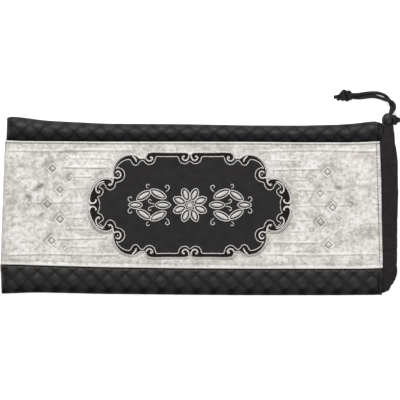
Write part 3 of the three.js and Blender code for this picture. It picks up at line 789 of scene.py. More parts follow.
def band_piece(name, side, edge_column, seam_column, first_middle_px, middle_from_seam):
    """A quilted band from the panel seam, over the bag's long edge, to the side seam."""
    from_end = end_stations(BAND_STEPS[0])[:, None]
    to_mouth = BAG_LENGTH - from_end
    rise = PANEL_LEVEL - SEAM_LEVEL - PUFF / 2
    angle, arc = flank_profile(rise)
    share = from_end / BAG_LENGTH
    edge = outline_at(share, edge_column)
    seam = outline_at(share, seam_column) + side * SEAM_GAP / 2 - TOP_SEAM_SHIFT * (side > 0)
    width = np.abs(edge - seam)
    flat = width - SIDE_ROUND
    total = flat + arc[-1]
    count = int(total.max() / BAND_STEPS[1])
    # The bottom band's columns run the other way, so that its faces look out as well
    s = np.linspace(0, 1, count)[::side] * total
    left = arc[-1] - np.clip(s - flat, 0, None)
    turn = np.interp(left, arc, angle)
    inward = np.where(s < flat, width - s, SIDE_ROUND * (1 - np.cos(turn)))
    y_plan = edge - side * inward
    x, end_lift = place_along(from_end, y_plan, 0)
    swell = quilt_puff(quilt_a(x, first_middle_px), (s - middle_from_seam) / QUILT_RISE)
    fade = smoothstep(0.2, 2.6, s) * smoothstep(0.1, 2.4, total - s) * end_lift
    fade = fade * smoothstep(0, 3.0, to_mouth)
    puff = swell * fade * PUFF * (TOP_SOFTNESS if side > 0 else 1)
    pucker = ripple(x, y_plan, 5, 24) * PUCKER * fade
    up = np.sin(turn) * SIDE_ROUND
    out = np.cos(turn) * rise
    size = np.hypot(up, out)
    y = y_plan + side * (edge_bulge(side, x) + (puff + pucker) * SIDE_PUFF) * out / size
    x = x - (EDGE_FILL + 0.2) * (1 - smoothstep(0, 14, from_end))
    gathers = MOUTH_GATHER * np.cos(2 * math.pi * (from_end - BAG_LENGTH) / GATHER_PITCH)
    gathers = gathers * smoothstep(BAG_LENGTH - 8, BAG_LENGTH - 2, from_end) * smoothstep(1, 4, s)
    stitches = bell(to_mouth, STITCHED_GROOVE, GROOVE_WIDTH) * (0.55 + 0.45 * np.sin(s * GROOVE_WAVE))
    dip = SEAM_DIP * bell(s, 0, SEAM_DIP_WIDTH)
    lift = rise * np.sin(turn) + (puff + pucker + gathers - 0.35 * stitches) * up / size - dip
    z = SEAM_LEVEL + SEAM_GAP / 2 + lift * end_lift
    shift, drop = band_end(from_end, y)
    outer = np.stack([x + shift, y - drop, z], axis=-1)
    shaded, scuff = band_painted_shade_and_scuff(side, s, left, 1 - np.clip(swell, 0, 1))
    # painted shade: the band's shading, deepened in the stitched groove by the mouth and lessened where
    # scuffed
    painted_shade = np.clip(shaded + stitches, 0, 1) * (1 - 0.9 * scuff)

    def inner(rows, columns):
        pick = np.ix_(rows, columns)
        away = np.where(s[pick] < flat[rows], width[rows] - s[pick],
                        SIDE_ROUND - (SIDE_ROUND - BAND_WALL) * np.cos(turn[pick]))
        yy = edge[rows] - side * away
        xx, lift = place_along(from_end[rows], yy, BAND_WALL)
        zz = SEAM_LEVEL + SEAM_GAP / 2 + (rise - BAND_WALL) * np.sin(turn[pick]) * lift
        return np.stack([xx, yy, zz], axis=-1)

    fields = {"painted_shade": painted_shade, "scuff": scuff}
    piece = wall_piece(f"{name}_quilt", outer, inner, QUILT_INNER, QUILT_LEATHER, fields=fields)
    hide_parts(name)


def back_piece():
    """The quilted back, its puffs flattened where they lie on the ground."""
    from_end = end_stations(BACK_STEPS[0])[:, None]
    level = SEAM_LEVEL - SEAM_GAP / 2
    angle, arc = flank_profile(level)
    share = from_end / BAG_LENGTH
    low, high = outline_at(share, "low_edge"), outline_at(share, "top_edge")
    total = (high - low) - 2 * SIDE_ROUND + 2 * arc[-1]
    s = np.linspace(0, 1, int(total.max() / BACK_STEPS[1])) * total
    near = np.minimum(s, total - s)
    turn = np.interp(near, arc, angle)
    side = np.where(s < total / 2, -1, 1)
    edge = np.where(side < 0, low, high)
    inward = np.where(near > arc[-1], near - arc[-1] + SIDE_ROUND, SIDE_ROUND * (1 - np.cos(turn)))
    y = edge - side * inward
    x, end_lift = place_along(from_end, y, 0)
    fade = smoothstep(0.1, 2.4, near) * end_lift * smoothstep(0, 3.0, BAG_LENGTH - from_end)
    puff = quilt_puff(quilt_a(x, BACK_MIDDLE_PX), s / QUILT_RISE) * fade
    groove = BACK_GROOVE * smoothstep(2, 9, near) * end_lift
    z = level - level * np.sin(turn) * end_lift + groove - puff * PUFF
    outer = np.stack([x, y, np.maximum(z, BACK_LOW)], axis=-1)

    def inner(rows, columns):
        pick = np.ix_(rows, columns)
        away = np.where(near[pick] > arc[-1], near[pick] - arc[-1] + SIDE_ROUND,
                        SIDE_ROUND - (SIDE_ROUND - BACK_WALL) * np.cos(turn[pick]))
        yy = edge[pick] - side[pick] * away
        xx, lift = place_along(from_end[rows], yy, BACK_WALL)
        zz = level - (level - BACK_WALL) * np.sin(turn[pick]) * lift
        return np.stack([xx, yy, zz], axis=-1)

    piece = wall_piece("back_panel_quilt", outer, inner, QUILT_INNER, QUILT_LEATHER, flip=True)
    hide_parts("back_panel")


# The embossed front panel. Places are pixels of the photograph's frame.

RIBS = (
    # y, first x, last x, depth
    (151.8, 8, 378, 0.34), (159.5, 70, 113, 0.26), (168.2, 62, 110, 0.36), (178.3, 72, 95, 0.3),
    (189.6, 68, 90, 0.26), (203.6, 22, 89, 0.26), (218.6, 65, 88, 0.26), (230, 70, 95, 0.26),
    (239.7, 58, 110, 0.34), (248.2, 69, 96, 0.26), (255.6, 8, 378, 0.32),
    (161.5, 268, 300, 0.26), (170.8, 270, 320, 0.36), (180.6, 287, 308, 0.3), (191.4, 292, 336, 0.26),
    (206.6, 296, 350, 0.26), (221.5, 292, 314, 0.22), (232, 285, 308, 0.26), (243.4, 271, 320, 0.34),
    (251.6, 292, 312, 0.26),
)
LOZENGES = (
    # x, y, half diagonal of the deep ring, depth
    (52.5, 168.6, 3.3, 0.75), (60, 189.6, 3.1, 0.6), (47.6, 204.2, 3.4, 0.75),
    (60, 219.2, 3.4, 0.75), (51.6, 240.6, 3.3, 0.7), (327.6, 171.8, 3.3, 0.7),
    (320.2, 193.4, 3.3, 0.6), (332.6, 207.6, 3.3, 0.7), (320.7, 222, 3.5, 0.7),
    (328.4, 244.8, 3.4, 0.65), (66.8, 158.3, 2.4, 0.3), (69, 178.3, 2.4, 0.4),
    (67.3, 203.5, 2.5, 0.35), (68.4, 228.4, 2.6, 0.35), (64.8, 248.6, 2.5, 0.35),
    (29.4, 203.2, 3, 0.4), (311, 180.8, 2.3, 0.35), (312.2, 204, 2.3, 0.3),
    (311.4, 230.2, 2.5, 0.35), (313.2, 250.4, 2.4, 0.3), (350.2, 204.4, 2.8, 0.4),
    (338.3, 218.6, 2.4, 0.3),
)
SMUDGES = (
    # x, y, half length, half width, turn in degrees, strength
    (39.5, 186.6, 6.2, 2.4, 32, 0.85), (28.8, 197, 3.6, 3, -35, 0.8),
    (41.3, 215, 4, 1.6, 35, 0.5), (13, 202, 5.5, 3.2, 10, 0.5), (12, 208.6, 2.6, 1.8, 0, 0.5),
    (337.5, 187.4, 4.2, 2.4, -15, 0.75), (46.5, 163, 6, 2.8, 25, 0.6),
    (68, 151.5, 11, 2, 3, 0.6), (24.5, 176.5, 5, 2, 20, 0.3), (34, 165, 3, 4, 0, 0.25),
    (68.5, 174.8, 4, 1.4, 30, 0.55), (100, 174, 8, 2.2, 16, 0.45), (350, 202, 5, 2, -20, 0.5),
    (322, 165.5, 7, 1.8, 32, 0.35), (333, 166, 5, 2.4, -30, 0.4), (283, 165.5, 16, 2.4, 0, 0.35),
    (125, 151.6, 11, 1.8, 2, 0.5), (16, 182.5, 4, 2.4, -25, 0.3), (370, 235, 12, 8, 20, 0.16),
    (14, 246, 7, 2.5, -28, 0.25), (311, 178.2, 4, 1.2, 25, 0.5), (47.5, 236.5, 4, 1.6, 40, 0.6),
    (68, 225.4, 4.5, 1.2, 20, 0.4), (262, 153, 18, 1.6, -2, 0.3),
)
RIB_WIDTH = 0.75
SHOULDER = (1.8, 1.0)  # distance from a rib's middle and width of the raised edge beside it
RING_WIDTH = 0.8
RING_ECHOES = (
    # distance past a lozenge's deep ring, width, strength
    (3.9, 0.75, 1.1), (5.9, 0.6, 0.5),
)
PLAQUE_ECHO = (2.7, 0.65)  # distance from the plaque and width of the nearest pressed line
FAR_ECHOES = (
    # distance from the plaque, strength
    (5.2, 0.45), (7.4, 0.35),
)
FAR_ECHO_WIDTH = 0.6


def to_frame(px, py):
    """X and Y in mm of a pixel of the photograph."""
    return px - PIXEL_OF_ORIGIN[0], PIXEL_OF_ORIGIN[1] - py


def distance_to(outline, x, y):
    """Distance of points to a closed outline, worked out only near it."""
    near = (np.abs(x - PLAQUE_X) < 118) & (np.abs(y - PLAQUE_Y) < 70)
    px, py = x[near], y[near]
    best = np.full(px.shape, 1e9)
    for a, b in zip(outline, np.roll(outline, -1, axis=0)):
        run = b - a
        t = np.clip(((px - a[0]) * run[0] + (py - a[1]) * run[1]) / (run @ run), 0, 1)
        best = np.minimum(best, (px - a[0] - t * run[0]) ** 2 + (py - a[1] - t * run[1]) ** 2)
    distance = np.full(x.shape, 1e3)
    distance[near] = np.sqrt(best)
    return distance


def emboss(x, y, from_plaque):
    """Relief of the stamped pattern, the patina that its hollows hold with painted shade on the
    lozenges' lower sides, and its rubbed edges.
    """
    relief = np.zeros_like(x)
    patina_and_painted_shade = np.zeros_like(x)
    rubbed_and_painted_highlight = np.zeros_like(x)
    clear = smoothstep(5, 9, from_plaque)
    for py, first, last, depth in RIBS:
        x0, rib_y = to_frame(first, py)
        x1, _ = to_frame(last, py)
        away = y - rib_y - 0.5 * np.sin(x / 17 + py)
        ends = smoothstep(x0 - 3, x0 + 3, x) * (1 - smoothstep(x1 - 3, x1 + 3, x)) * clear
        groove = bell(away, 0, RIB_WIDTH) * ends * (1 + 0.5 * ripple(x, y, int(py), 30))
        shoulder = bell(away, *SHOULDER) * ends
        relief += depth * (0.5 * shoulder - groove)
        patina_and_painted_shade = np.maximum(patina_and_painted_shade, groove * depth * 1.3)
        rubbed_and_painted_highlight = np.maximum(rubbed_and_painted_highlight, shoulder * depth * 1.2)
    for px, py, half, depth in LOZENGES:
        cx, cy = to_frame(px, py)
        away = np.abs(x - cx) + np.abs(y - cy)
        ring = bell(away, half, RING_WIDTH)
        upper = 0.65 + 0.35 * np.clip((y - cy + cx - x) / (2 * half), -1, 1)
        echo = sum(most * bell(away - half, far, width) * upper for far, width, most in RING_ECHOES)
        relief += depth * (0.6 * bell(away, 0, half * 0.45) - ring - 0.45 * echo)
        # painted shade: each raised core darker in its lower half
        core = 0.35 * bell(away, half * 0.25, 0.5) * (y < cy)
        smudge = 0.3 * np.exp(-((x - cx + half) ** 2 + (y - cy - half) ** 2) / (1.3 * half) ** 2)
        # patina in the ring, echoes and smudge, with painted shade making the ring darker on its lower
        # right
        patina_and_painted_shade = np.maximum(patina_and_painted_shade, depth * ((1.95 - upper) * ring + 0.7 * echo + core + smudge))
        rubbed_and_painted_highlight = np.maximum(rubbed_and_painted_highlight, 0.35 * depth * bell(away - half, 1.7, 0.7))
    for px, py, long, wide, turn, strength in SMUDGES:
        cx, cy = to_frame(px, py)
        angle = math.radians(turn)
        u = (x - cx) * math.cos(angle) + (y - cy) * math.sin(angle)
        v = (y - cy) * math.cos(angle) - (x - cx) * math.sin(angle)
        ragged = 1 + 0.5 * ripple(x, y, int(px * 7), 4)
        spot = np.exp(-((u / long) ** 2 + (v / wide) ** 2) ** 1.2 * ragged)
        patina_and_painted_shade = np.maximum(patina_and_painted_shade, strength * spot)
    return relief, patina_and_painted_shade, rubbed_and_painted_highlight


def plaque_echoes(x, y, from_plaque):
    """The faint pressed lines that follow the plaque's outline, deepest below and at its ends."""
    below = smoothstep(4, -30, y - PLAQUE_Y)
    ends = smoothstep(80, 92, np.abs(x - PLAQUE_X))
    lines = bell(from_plaque, *PLAQUE_ECHO) * (0.28 + 0.6 * below + 0.15 * ends)
    for away, share in FAR_ECHOES:
        lines = lines + bell(from_plaque, away, FAR_ECHO_WIDTH) * share * (0.2 + 0.8 * ends)
    return lines


PANEL_ZONES = (
    # pixel where a zone of the panel ends, step along it in mm
    (24, 1.2), (76, 0.52), (112, 0.9), (268, 1.5), (300, 0.9), (358, 0.52), (380, 1.2),
)
PANEL_END = {
    # The panel's edge at the mouth: across in mm, how far it reaches past the seam
    "across": (-62, -56, -9, 26, 64),
    "reach": (1.0, 1.0, 0, -0.5, -1.9),
}


def panel_stations():
    """Distances along the panel, closest where the stamped pattern is finest."""
    stations = list(END_ROUND * (1 - np.cos(np.linspace(0, math.pi / 2, 12))))
    for pixel, step in PANEL_ZONES:
        limit = to_frame(pixel, 0)[0] - CLOSED_X
        count = max(1, round((limit - stations[-1]) / step))
        stations.extend(np.linspace(stations[-1], limit, count + 1)[1:])
    return np.append(stations, BAG_LENGTH)


def panel_end(from_end, y):
    near = smoothstep(BAG_LENGTH - 30, BAG_LENGTH, from_end)
    return near * row_value(PANEL_END, "across", y, "reach")


def panel_piece():
    """The cream panel: hems along both bands, stamped ribs and lozenges, soft unevenness."""
    from_end = panel_stations()[:, None]
    share = from_end / BAG_LENGTH
    low = outline_at(share, "low_seam") + SEAM_GAP / 2
    high = outline_at(share, "top_seam") - SEAM_GAP / 2 - TOP_SEAM_SHIFT
    y = low + (high - low) * np.linspace(0, 1, PANEL_COLUMNS)
    x, end_lift = place_along(from_end, y, 0)
    from_plaque = distance_to(plaque_outline() + PLAQUE_CENTRE, x, y)
    relief, patina_and_painted_shade, rubbed_and_painted_highlight = emboss(x, y, from_plaque)
    echoes = plaque_echoes(x, y, from_plaque)
    from_top, from_low = high - y, y - low
    from_edge = np.minimum(from_top, from_low)
    top_hem = smoothstep(-0.3, 0.5, from_top) * (1 - smoothstep(HEM, HEM + 0.9, from_top))
    low_hem = smoothstep(-0.3, 0.5, from_low) * (1 - smoothstep(HEM + 0.8, HEM + 2.2, from_low))
    top_tuck = bell(from_top - HEM, 0.7, 1.0)
    low_tuck = bell(from_low - HEM, 2.6, 0.9)
    mouth_seam = bell(BAG_LENGTH - from_end, 2.4, 0.8)
    wave = 0.22 * ripple(x, y, 3, 60) + 0.10 * ripple(x, y, 4, 22)
    face = PANEL_LEVEL - SEAM_LEVEL
    z = face + (0.55 * top_hem + 0.6 * low_hem) - 0.6 * top_tuck - 0.25 * low_tuck - 0.5 * mouth_seam
    z = z - 0.5 * (1 - smoothstep(0, 1.0, from_edge)) + wave * smoothstep(3, 12, from_edge)
    under_plaque = smoothstep(1.04, 0.9, np.hypot((x - PLAQUE_X) / 100, (y - PLAQUE_Y) / 56))
    z = z + (relief - 0.35 * echoes) * (1 - under_plaque)
    z = np.where(under_plaque > 0, np.minimum(z, face + 0.05), z)
    x = x + panel_end(from_end, y) - 0.9 * (1 - smoothstep(0, 12, from_end))
    outer = np.stack([x, y, SEAM_LEVEL + SEAM_GAP / 2 + z * end_lift], axis=-1)
    # Painted shade: in the tucks beside the hems, at the closed end, in the mouth seam, along both
    # edges and round the plaque.
    shade = 0.42 * top_tuck + 0.22 * low_tuck + 0.35 * bell(from_end, 0, 2.5)
    shade = shade + 0.2 * mouth_seam + 0.10 * bell(from_edge, 0, 8) + 0.10 * bell(from_plaque, 0, 8)
    # the painted shade and the pressed lines join the patina; the lines' dark is partly painted shade,
    # strongest below the plaque
    patina_and_painted_shade = np.clip(np.maximum(patina_and_painted_shade, shade + echoes * 0.6), 0, 1) * (1 - under_plaque)
    # Painted highlights: a pale line along each hem's lip and a pale ring just round the plaque, added
    # to the rubbed raised edges.
    lip_highlight = 0.95 * bell(from_low, 1.0, 0.9) + 0.45 * bell(from_top, 0.8, 0.8)
    rim = 0.6 * bell(from_plaque, 1.4, 0.9)
    rubbed_and_painted_highlight = np.clip(np.maximum(rubbed_and_painted_highlight, lip_highlight + rim), 0, 1)

    def inner(rows, columns):
        yy = y[np.ix_(rows, columns)]
        xx, lift = place_along(from_end[rows], yy, PANEL_WALL)
        xx = xx + panel_end(from_end[rows], yy)
        zz = SEAM_LEVEL + SEAM_GAP / 2 + (face - PANEL_WALL) * lift + 0 * yy
        return np.stack([xx, yy, zz], axis=-1)

    fields = {"patina_and_painted_shade": patina_and_painted_shade, "rubbed_and_painted_highlight": rubbed_and_painted_highlight}
    piece = wall_piece("front_panel_embossed", outer, inner, PANEL_INNER, CREAM_LEATHER, fields=fields)
    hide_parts("front_panel")


def mouth_stitches():
    """The row of lock stitches beside the mouth: short arched threads."""
    row = MOUTH_STITCHES
    start, end = np.array(row["start"], float), np.array(row["end"], float)
    run = np.linalg.norm(end - start)
    heading = (end - start) / run
    parts = []
    for k in range(int(run / row["pitch"])):
        middle = start + heading * (k + 0.5) * row["pitch"]
        line = []
        for f in np.linspace(-0.5, 0.5, 7):
            level = PANEL_LEVEL + 0.1 + row["bow"] * (1 - (2 * f) ** 2)
            line.append((*(middle + heading * row["length"] * f), level))
        parts.append(tube_mesh(np.array(line), lambda reach, angle: row["width"] / 2, 7))
    piece = new_mesh("mouth_stitches", *join_parts(parts), DARK_THREAD)


# Camera and cords come first

add_camera()


def strand_line(side):
    """Middle line of one strand of the doubled cord, in mm."""
    route = np.array(CORD_ROUTE, float)
    route[BEAD_ROW - 1:BEAD_ROW + 2, 3] = BEAD_SPREAD
    heading = np.zeros((len(route), 2))
    for k in range(len(route)):
        heading[k] = route[min(k + 1, len(route) - 1), :2] - route[max(k - 1, 0), :2]
    heading = unit(heading)
    from_slit = np.linalg.norm(route[:, :2] - SLIT_PLACE, axis=1)
    spread = route[:, 3] + SLIT_SPREAD * bell(from_slit, 0, SLIT_LENGTH)
    offset = side * spread * STRAND_PITCH / 2
    roll = np.radians(route[:, 4])
    level = np.cos(roll) * offset
    return catmull(np.stack([
        route[:, 0] + heading[:, 1] * level,
        route[:, 1] - heading[:, 0] * level,
        route[:, 2] + np.sin(roll) * offset,
    ], axis=1), 12)


def braid_radius(radius, carriers=4, lay=5.2, depth=0.26, thin_at=-100):
    """Radius of a braided cord: strands wound both ways, each going over and under."""
    def at(reach, angle):
        one = np.cos(carriers * angle + 2 * math.pi * reach / lay * carriers / 2)
        two = np.cos(carriers * angle - 2 * math.pi * reach / lay * carriers / 2)
        thinner = 1 - SLIT_THINNING * bell(reach, thin_at, SLIT_LENGTH + 1)
        return (radius - depth * 0.5 + depth * 0.5 * np.maximum(one, two)) * thinner
    return at


def cord_pieces():
    """Both strands, each run a little way on into the end knot, with its line in mm."""
    pieces = []
    for name, side in (("a", 1), ("b", -1)):
        line = strand_line(side)
        into_knot = line[-1] + (line[-1] - line[-2]) / np.linalg.norm(line[-1] - line[-2]) * 3
        line = spaced(np.vstack([line, into_knot]), CORD_STEP)
        thin_at = np.argmin(np.linalg.norm(line[:, :2] - SLIT_PLACE, axis=1)) * CORD_STEP
        radius = braid_radius(CORD_DIAMETER / 2 + BRAID_SWELL, thin_at=thin_at)
        points, polygons = tube_mesh(line, radius, CORD_SIDES)
        points[:, 2] = np.maximum(points[:, 2], CORD_LOW)
        piece = new_mesh(f"braided_cord_{name}", points, polygons, CORD_BRAID)
        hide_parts(f"cord_strand_{name}")
        pieces.append((piece, line))
    return pieces


cords = cord_pieces()


# Knots and bead

def knot_tube(points, radius):
    line = spaced(catmull(points, 14), KNOT_STEP)
    return tube_mesh(line, braid_radius(radius, lay=3.6, depth=0.42), CORD_SIDES)


def trefoil(centre, size, turn, gap):
    """Points of an overhand knot's loop, open by a gap at either end of its turn, fitted to a
    size and turned about Z."""
    u = np.linspace(gap, 2 * math.pi - gap, 18)
    x, y = np.sin(u) + 2 * np.sin(2 * u), np.cos(u) - 2 * np.cos(2 * u)
    raw = np.stack([x, y, -np.sin(3 * u)], axis=1)
    return turned(raw / (3.0, 3.0, 1.0) * (np.array(size) / 2), turn) + np.array(centre)


def ring(centre, radius, axis, squash=1.0):
    """Points of a nearly closed loop round an axis."""
    axis = Vector(axis).normalized()
    first = axis.orthogonal().normalized()
    second = axis.cross(first)
    points = []
    for angle in np.radians(np.linspace(0, 350, 16)):
        points.append(np.array(centre) + np.array(first) * radius * math.cos(angle)
                      + np.array(second) * radius * squash * math.sin(angle))
    return points


def knot_piece(name, node, lines):
    """A knot as one piece from its cord's loops and tails, each a line and a thickness."""
    points, polygons = join_parts([knot_tube(points, thick / 2) for points, thick in lines])
    points[:, 2] = np.maximum(points[:, 2], KNOT_LOW)
    piece = new_mesh(name, points, polygons, CORD_BRAID)
    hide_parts(node)
    return piece


def end_knot_piece():
    """The knot of both strands: two rounds of an overhand loop, a collar and two cut tails."""
    cord = CORD_DIAMETER
    return knot_piece("end_knot_tied", "end_knot", (
        (trefoil((147.6, 110.6, 4.6), (9.2, 8.4, 4.6), 15, 0.15), cord * 1.12),
        (trefoil((145.8, 110.6, 4.6), (9.2, 8.0, 4.8), 75, 0.3), cord * 1.12),
        (ring((151.6, 110.0, 4.5), 2.6, (1, 0.15, 0.1), 0.95), cord),
        (ring((147.2, 110.6, 5.2), 2.2, (0.2, 0.3, 1)), cord),
        (ring((142.4, 112.6, 4.2), 1.7, (0.8, -0.6, 0.2)), cord * 0.85),
        ([(143.5, 110.6, 3.8), (140.8, 110.2, 2.6), (137.8, 109.5, 1.9), (134.8, 109.0, 1.8)],
         cord * 1.15),
        ([(144.6, 108.4, 3.4), (142, 107.9, 2.4), (139.8, 107.4, 1.9), (137.9, 106.9, 1.8)],
         cord * 1.1),
    ))


def bead_knot_piece():
    """The knot beside the bead: tight loops of the same cord pressed to it, with a cut tail."""
    cord = CORD_DIAMETER
    return knot_piece("bead_knot_tied", "bead_knot", (
        (ring((195.0, 89.0, 7.4), 2.1, (0.3, 1, 0.2)), cord),
        (ring((194.9, 83.0, 7.2), 2.1, (-0.3, 1, 0.1)), cord),
        (ring((196.2, 86.0, 7.2), 3.5, (1, 0.1, 0.25)), cord * 1.05),
        (ring((196.8, 86.0, 7.0), 1.6, (0.2, 0.2, 1)), cord),
        (trefoil((196.0, 86.0, 5.4), (5.4, 9.6, 6.4), 90, 0.1), cord * 1.05),
        ([(197.4, 86.4, 5.6), (199.2, 86.4, 5.2), (200.9, 86.2, 4.6)], cord * 0.8),
    ))


def bead_piece():
    """The round black bead, bored for the two strands, with softened bore mouths."""
    radius = BEAD_DIAMETER / 2
    bore = BEAD_SPREAD * STRAND_PITCH / 2 + CORD_DIAMETER / 2 + 0.15
    mouth = math.asin((bore + 0.3) / radius)
    profile = [(bore, -0.6 * radius), (bore, 0.6 * radius)]
    for angle in np.linspace(mouth, math.pi - mouth, 41):
        profile.append((radius * math.sin(angle), radius * math.cos(angle)))
    out, along = np.array(profile).T
    rows = []
    for angle in np.linspace(0, 2 * math.pi, BEAD_SIDES, endpoint=False):
        row = np.stack([out * math.cos(angle), along * BEAD_STRETCH, out * math.sin(angle)], axis=1)
        rows.append(turned(row, -BEAD_TURN))
    points = np.vstack(rows) + CORD_ROUTE[BEAD_ROW][:3]
    quads = tube_quads(BEAD_SIDES, len(profile), looped=True)
    piece = new_mesh("bead_ball", points, [quads], BEAD_BLACK)
    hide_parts("bead")
    return piece


end_knot = end_knot_piece()
bead_knot = bead_knot_piece()
bead = bead_piece()


# The casing

CASING_REACH = {
    # How far the casing's two edges lie past their seam and its plain line: places across in mm
    "across": (-88, -86, -81, -74, -67, -59, -14, -9, 6, 26, 46, 61, 64, 69, 75, 79),
    "inner": (0.3, 0.3, 0.4, 0.4, 0.5, 0.5, -0.3, -0.3, -0.5, -0.8, -1.5, -2.1, -2.2, -1.2, 0.3, 1.6),
    "outer": (0.6, -0.4, -1.0, 0.6, 1.5, 0.2, 0.0, 0.1, 0.6, 0.7, 1.5, 0.9, 0.9, 1.4, 1.1, 0.9),
}


def casing_folds(s, w, total):
    """Wrinkles of the casing's outer face, deepest where it turns at the lower corner."""
    deep = CASING_FOLDS
    folds = deep["across"] * ripple(s, w * 3, 11, 9, 5) * (0.5 + 0.5 * np.abs(w))
    folds = folds + deep["along"] * ripple(s * 0.25, w * 7, 12, 5, 5)
    corner = bell(s, total * 0.49, 12) * (0.5 + 0.5 * smoothstep(-0.2, 0.9, w))
    return folds + deep["corner"] * corner * np.sin(s * 1.5 + 2 * w) - deep["sunk"]


def casing_piece():
    """The woven tunnel round the mouth, wrinkled by its drawstring and puckered at its seam."""
    across, level, width = np.array(CASING_ROUTE, float).T
    points = np.stack([
        CASING_X + width * CASING_WIDTH / 2,
        across * HALF_WIDTH,
        CASING_HALF + (FRONT_LEG - CASING_HALF) * level,
    ], axis=1)
    line = spaced(catmull(points, 30), CASING_STEP)
    tangents = np.gradient(line, axis=0)
    tangents[:, 0] = 0
    tangents = unit(tangents)
    reach = (np.arange(len(line)) * CASING_STEP)[:, None]
    total = reach[-1, 0]
    angles = np.linspace(0, 2 * math.pi, CASING_SIDES, endpoint=False)
    wide = np.sign(np.cos(angles)) * np.abs(np.cos(angles)) ** 0.8
    high = np.sign(np.sin(angles)) * np.abs(np.sin(angles)) ** 0.6
    mid_x, mid_y, mid_z = line.T[:, :, None]
    front = 1 - smoothstep(total * 0.40, total * 0.46, reach)
    inner_edge = row_value(CASING_REACH, "across", mid_y, "inner") * front
    outer_edge = row_value(CASING_REACH, "across", mid_y, "outer")

    def face(inset, folds):
        sideways = wide * (mid_x - CASING_X - inset) + inner_edge * np.maximum(-wide, 0)
        sideways = sideways + np.maximum(wide, 0) * (outer_edge - np.abs(folds) * 0.4)
        upwards = high * (CASING_HALF - inset + folds)
        x = mid_x + sideways
        y = mid_y + upwards * tangents[:, 2:]
        y = y - LOW_CORNER * smoothstep(-76, -86, y) * (1 - smoothstep(1, 7, x - MOUTH_X))
        z = np.maximum(mid_z - upwards * tangents[:, 1:2], CORD_LOW)
        return np.stack([x, y, z], axis=-1).reshape(-1, 3)

    outer = face(0, casing_folds(reach, wide[None, :], total))
    n = len(outer)
    outside = tube_quads(len(line), CASING_SIDES)
    j = np.arange(CASING_SIDES)
    k = (j + 1) % CASING_SIDES
    first = np.stack([j, j + n, k + n, k], axis=-1)
    last = first[:, ::-1] + n - CASING_SIDES
    polygons = [outside, outside[:, ::-1] + n, first, last]
    points = np.vstack([outer, face(CASING_WALL, 0)])
    piece = new_mesh("casing_cloth_tunnel", points, polygons, CASING_CLOTH)
    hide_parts("casing")


# Plaque, its frame and its ornament. Places are mm from the plaque's middle, for one quarter.

PLAQUE_EDGE = (
    (0, 48.2), (0.9, 48.9), (1.8, 49.9), (3.1, 50.7), (5.2, 51.0), (20, 51.0), (39, 51.0),
    (41.9, 49.9), (43.1, 47.8), (43.6, 45.9), (45.1, 45.2), (50, 45), (51.5, 46), (53.4, 47.4),
    (56, 48.9), (60, 48.6), (62, 48.2), (65, 47.4), (68, 45.8), (70.6, 43.6), (72.7, 41.1),
    (74.4, 38), (75.4, 34.6), (75.8, 31.3), (75.2, 28.6), (75.6, 27), (77.8, 25.2), (79.4, 25.4),
    (82, 25.9), (85, 26), (88.4, 25.2), (91.4, 23.6), (94.2, 20.8), (96.6, 17.2), (98.6, 13.2),
    (100, 9.2), (100.4, 5.6), (99.8, 3), (99.3, 0),
)
RIM_STROKES = {
    # name: width, points; these lie half on the plaque's edge and half on the cream
    "rim_bar": (1.6, (
        (0, 49.2), (0.7, 49.7), (1.8, 50.8), (3.4, 51.6), (5.4, 51.9), (20, 51.9), (39.8, 51.9),
        (42.4, 50.9), (44, 48.4), (44.4, 46.4), (43.6, 45.2),
    )),
    "rim_lobe": (1.6, (
        (45.5, 46.2), (50, 46.1), (52, 47.2), (54.5, 48.9), (58, 49.6), (62, 49.3), (66, 48.3),
        (69.5, 46.3), (72.5, 43.5), (75, 40.1), (76.4, 36.4), (76.9, 32), (76.4, 28.8),
        (76.2, 27.5),
    )),
    "rim_shoulder": (1.6, (
        (77, 26.5), (80, 26.9), (85, 27.1), (89, 26.3), (92.4, 24.6), (95.6, 21.4), (98, 17.8),
        (100, 13.6), (101.3, 9.4), (101.6, 5.4), (101.0, 3.4),
    )),
}
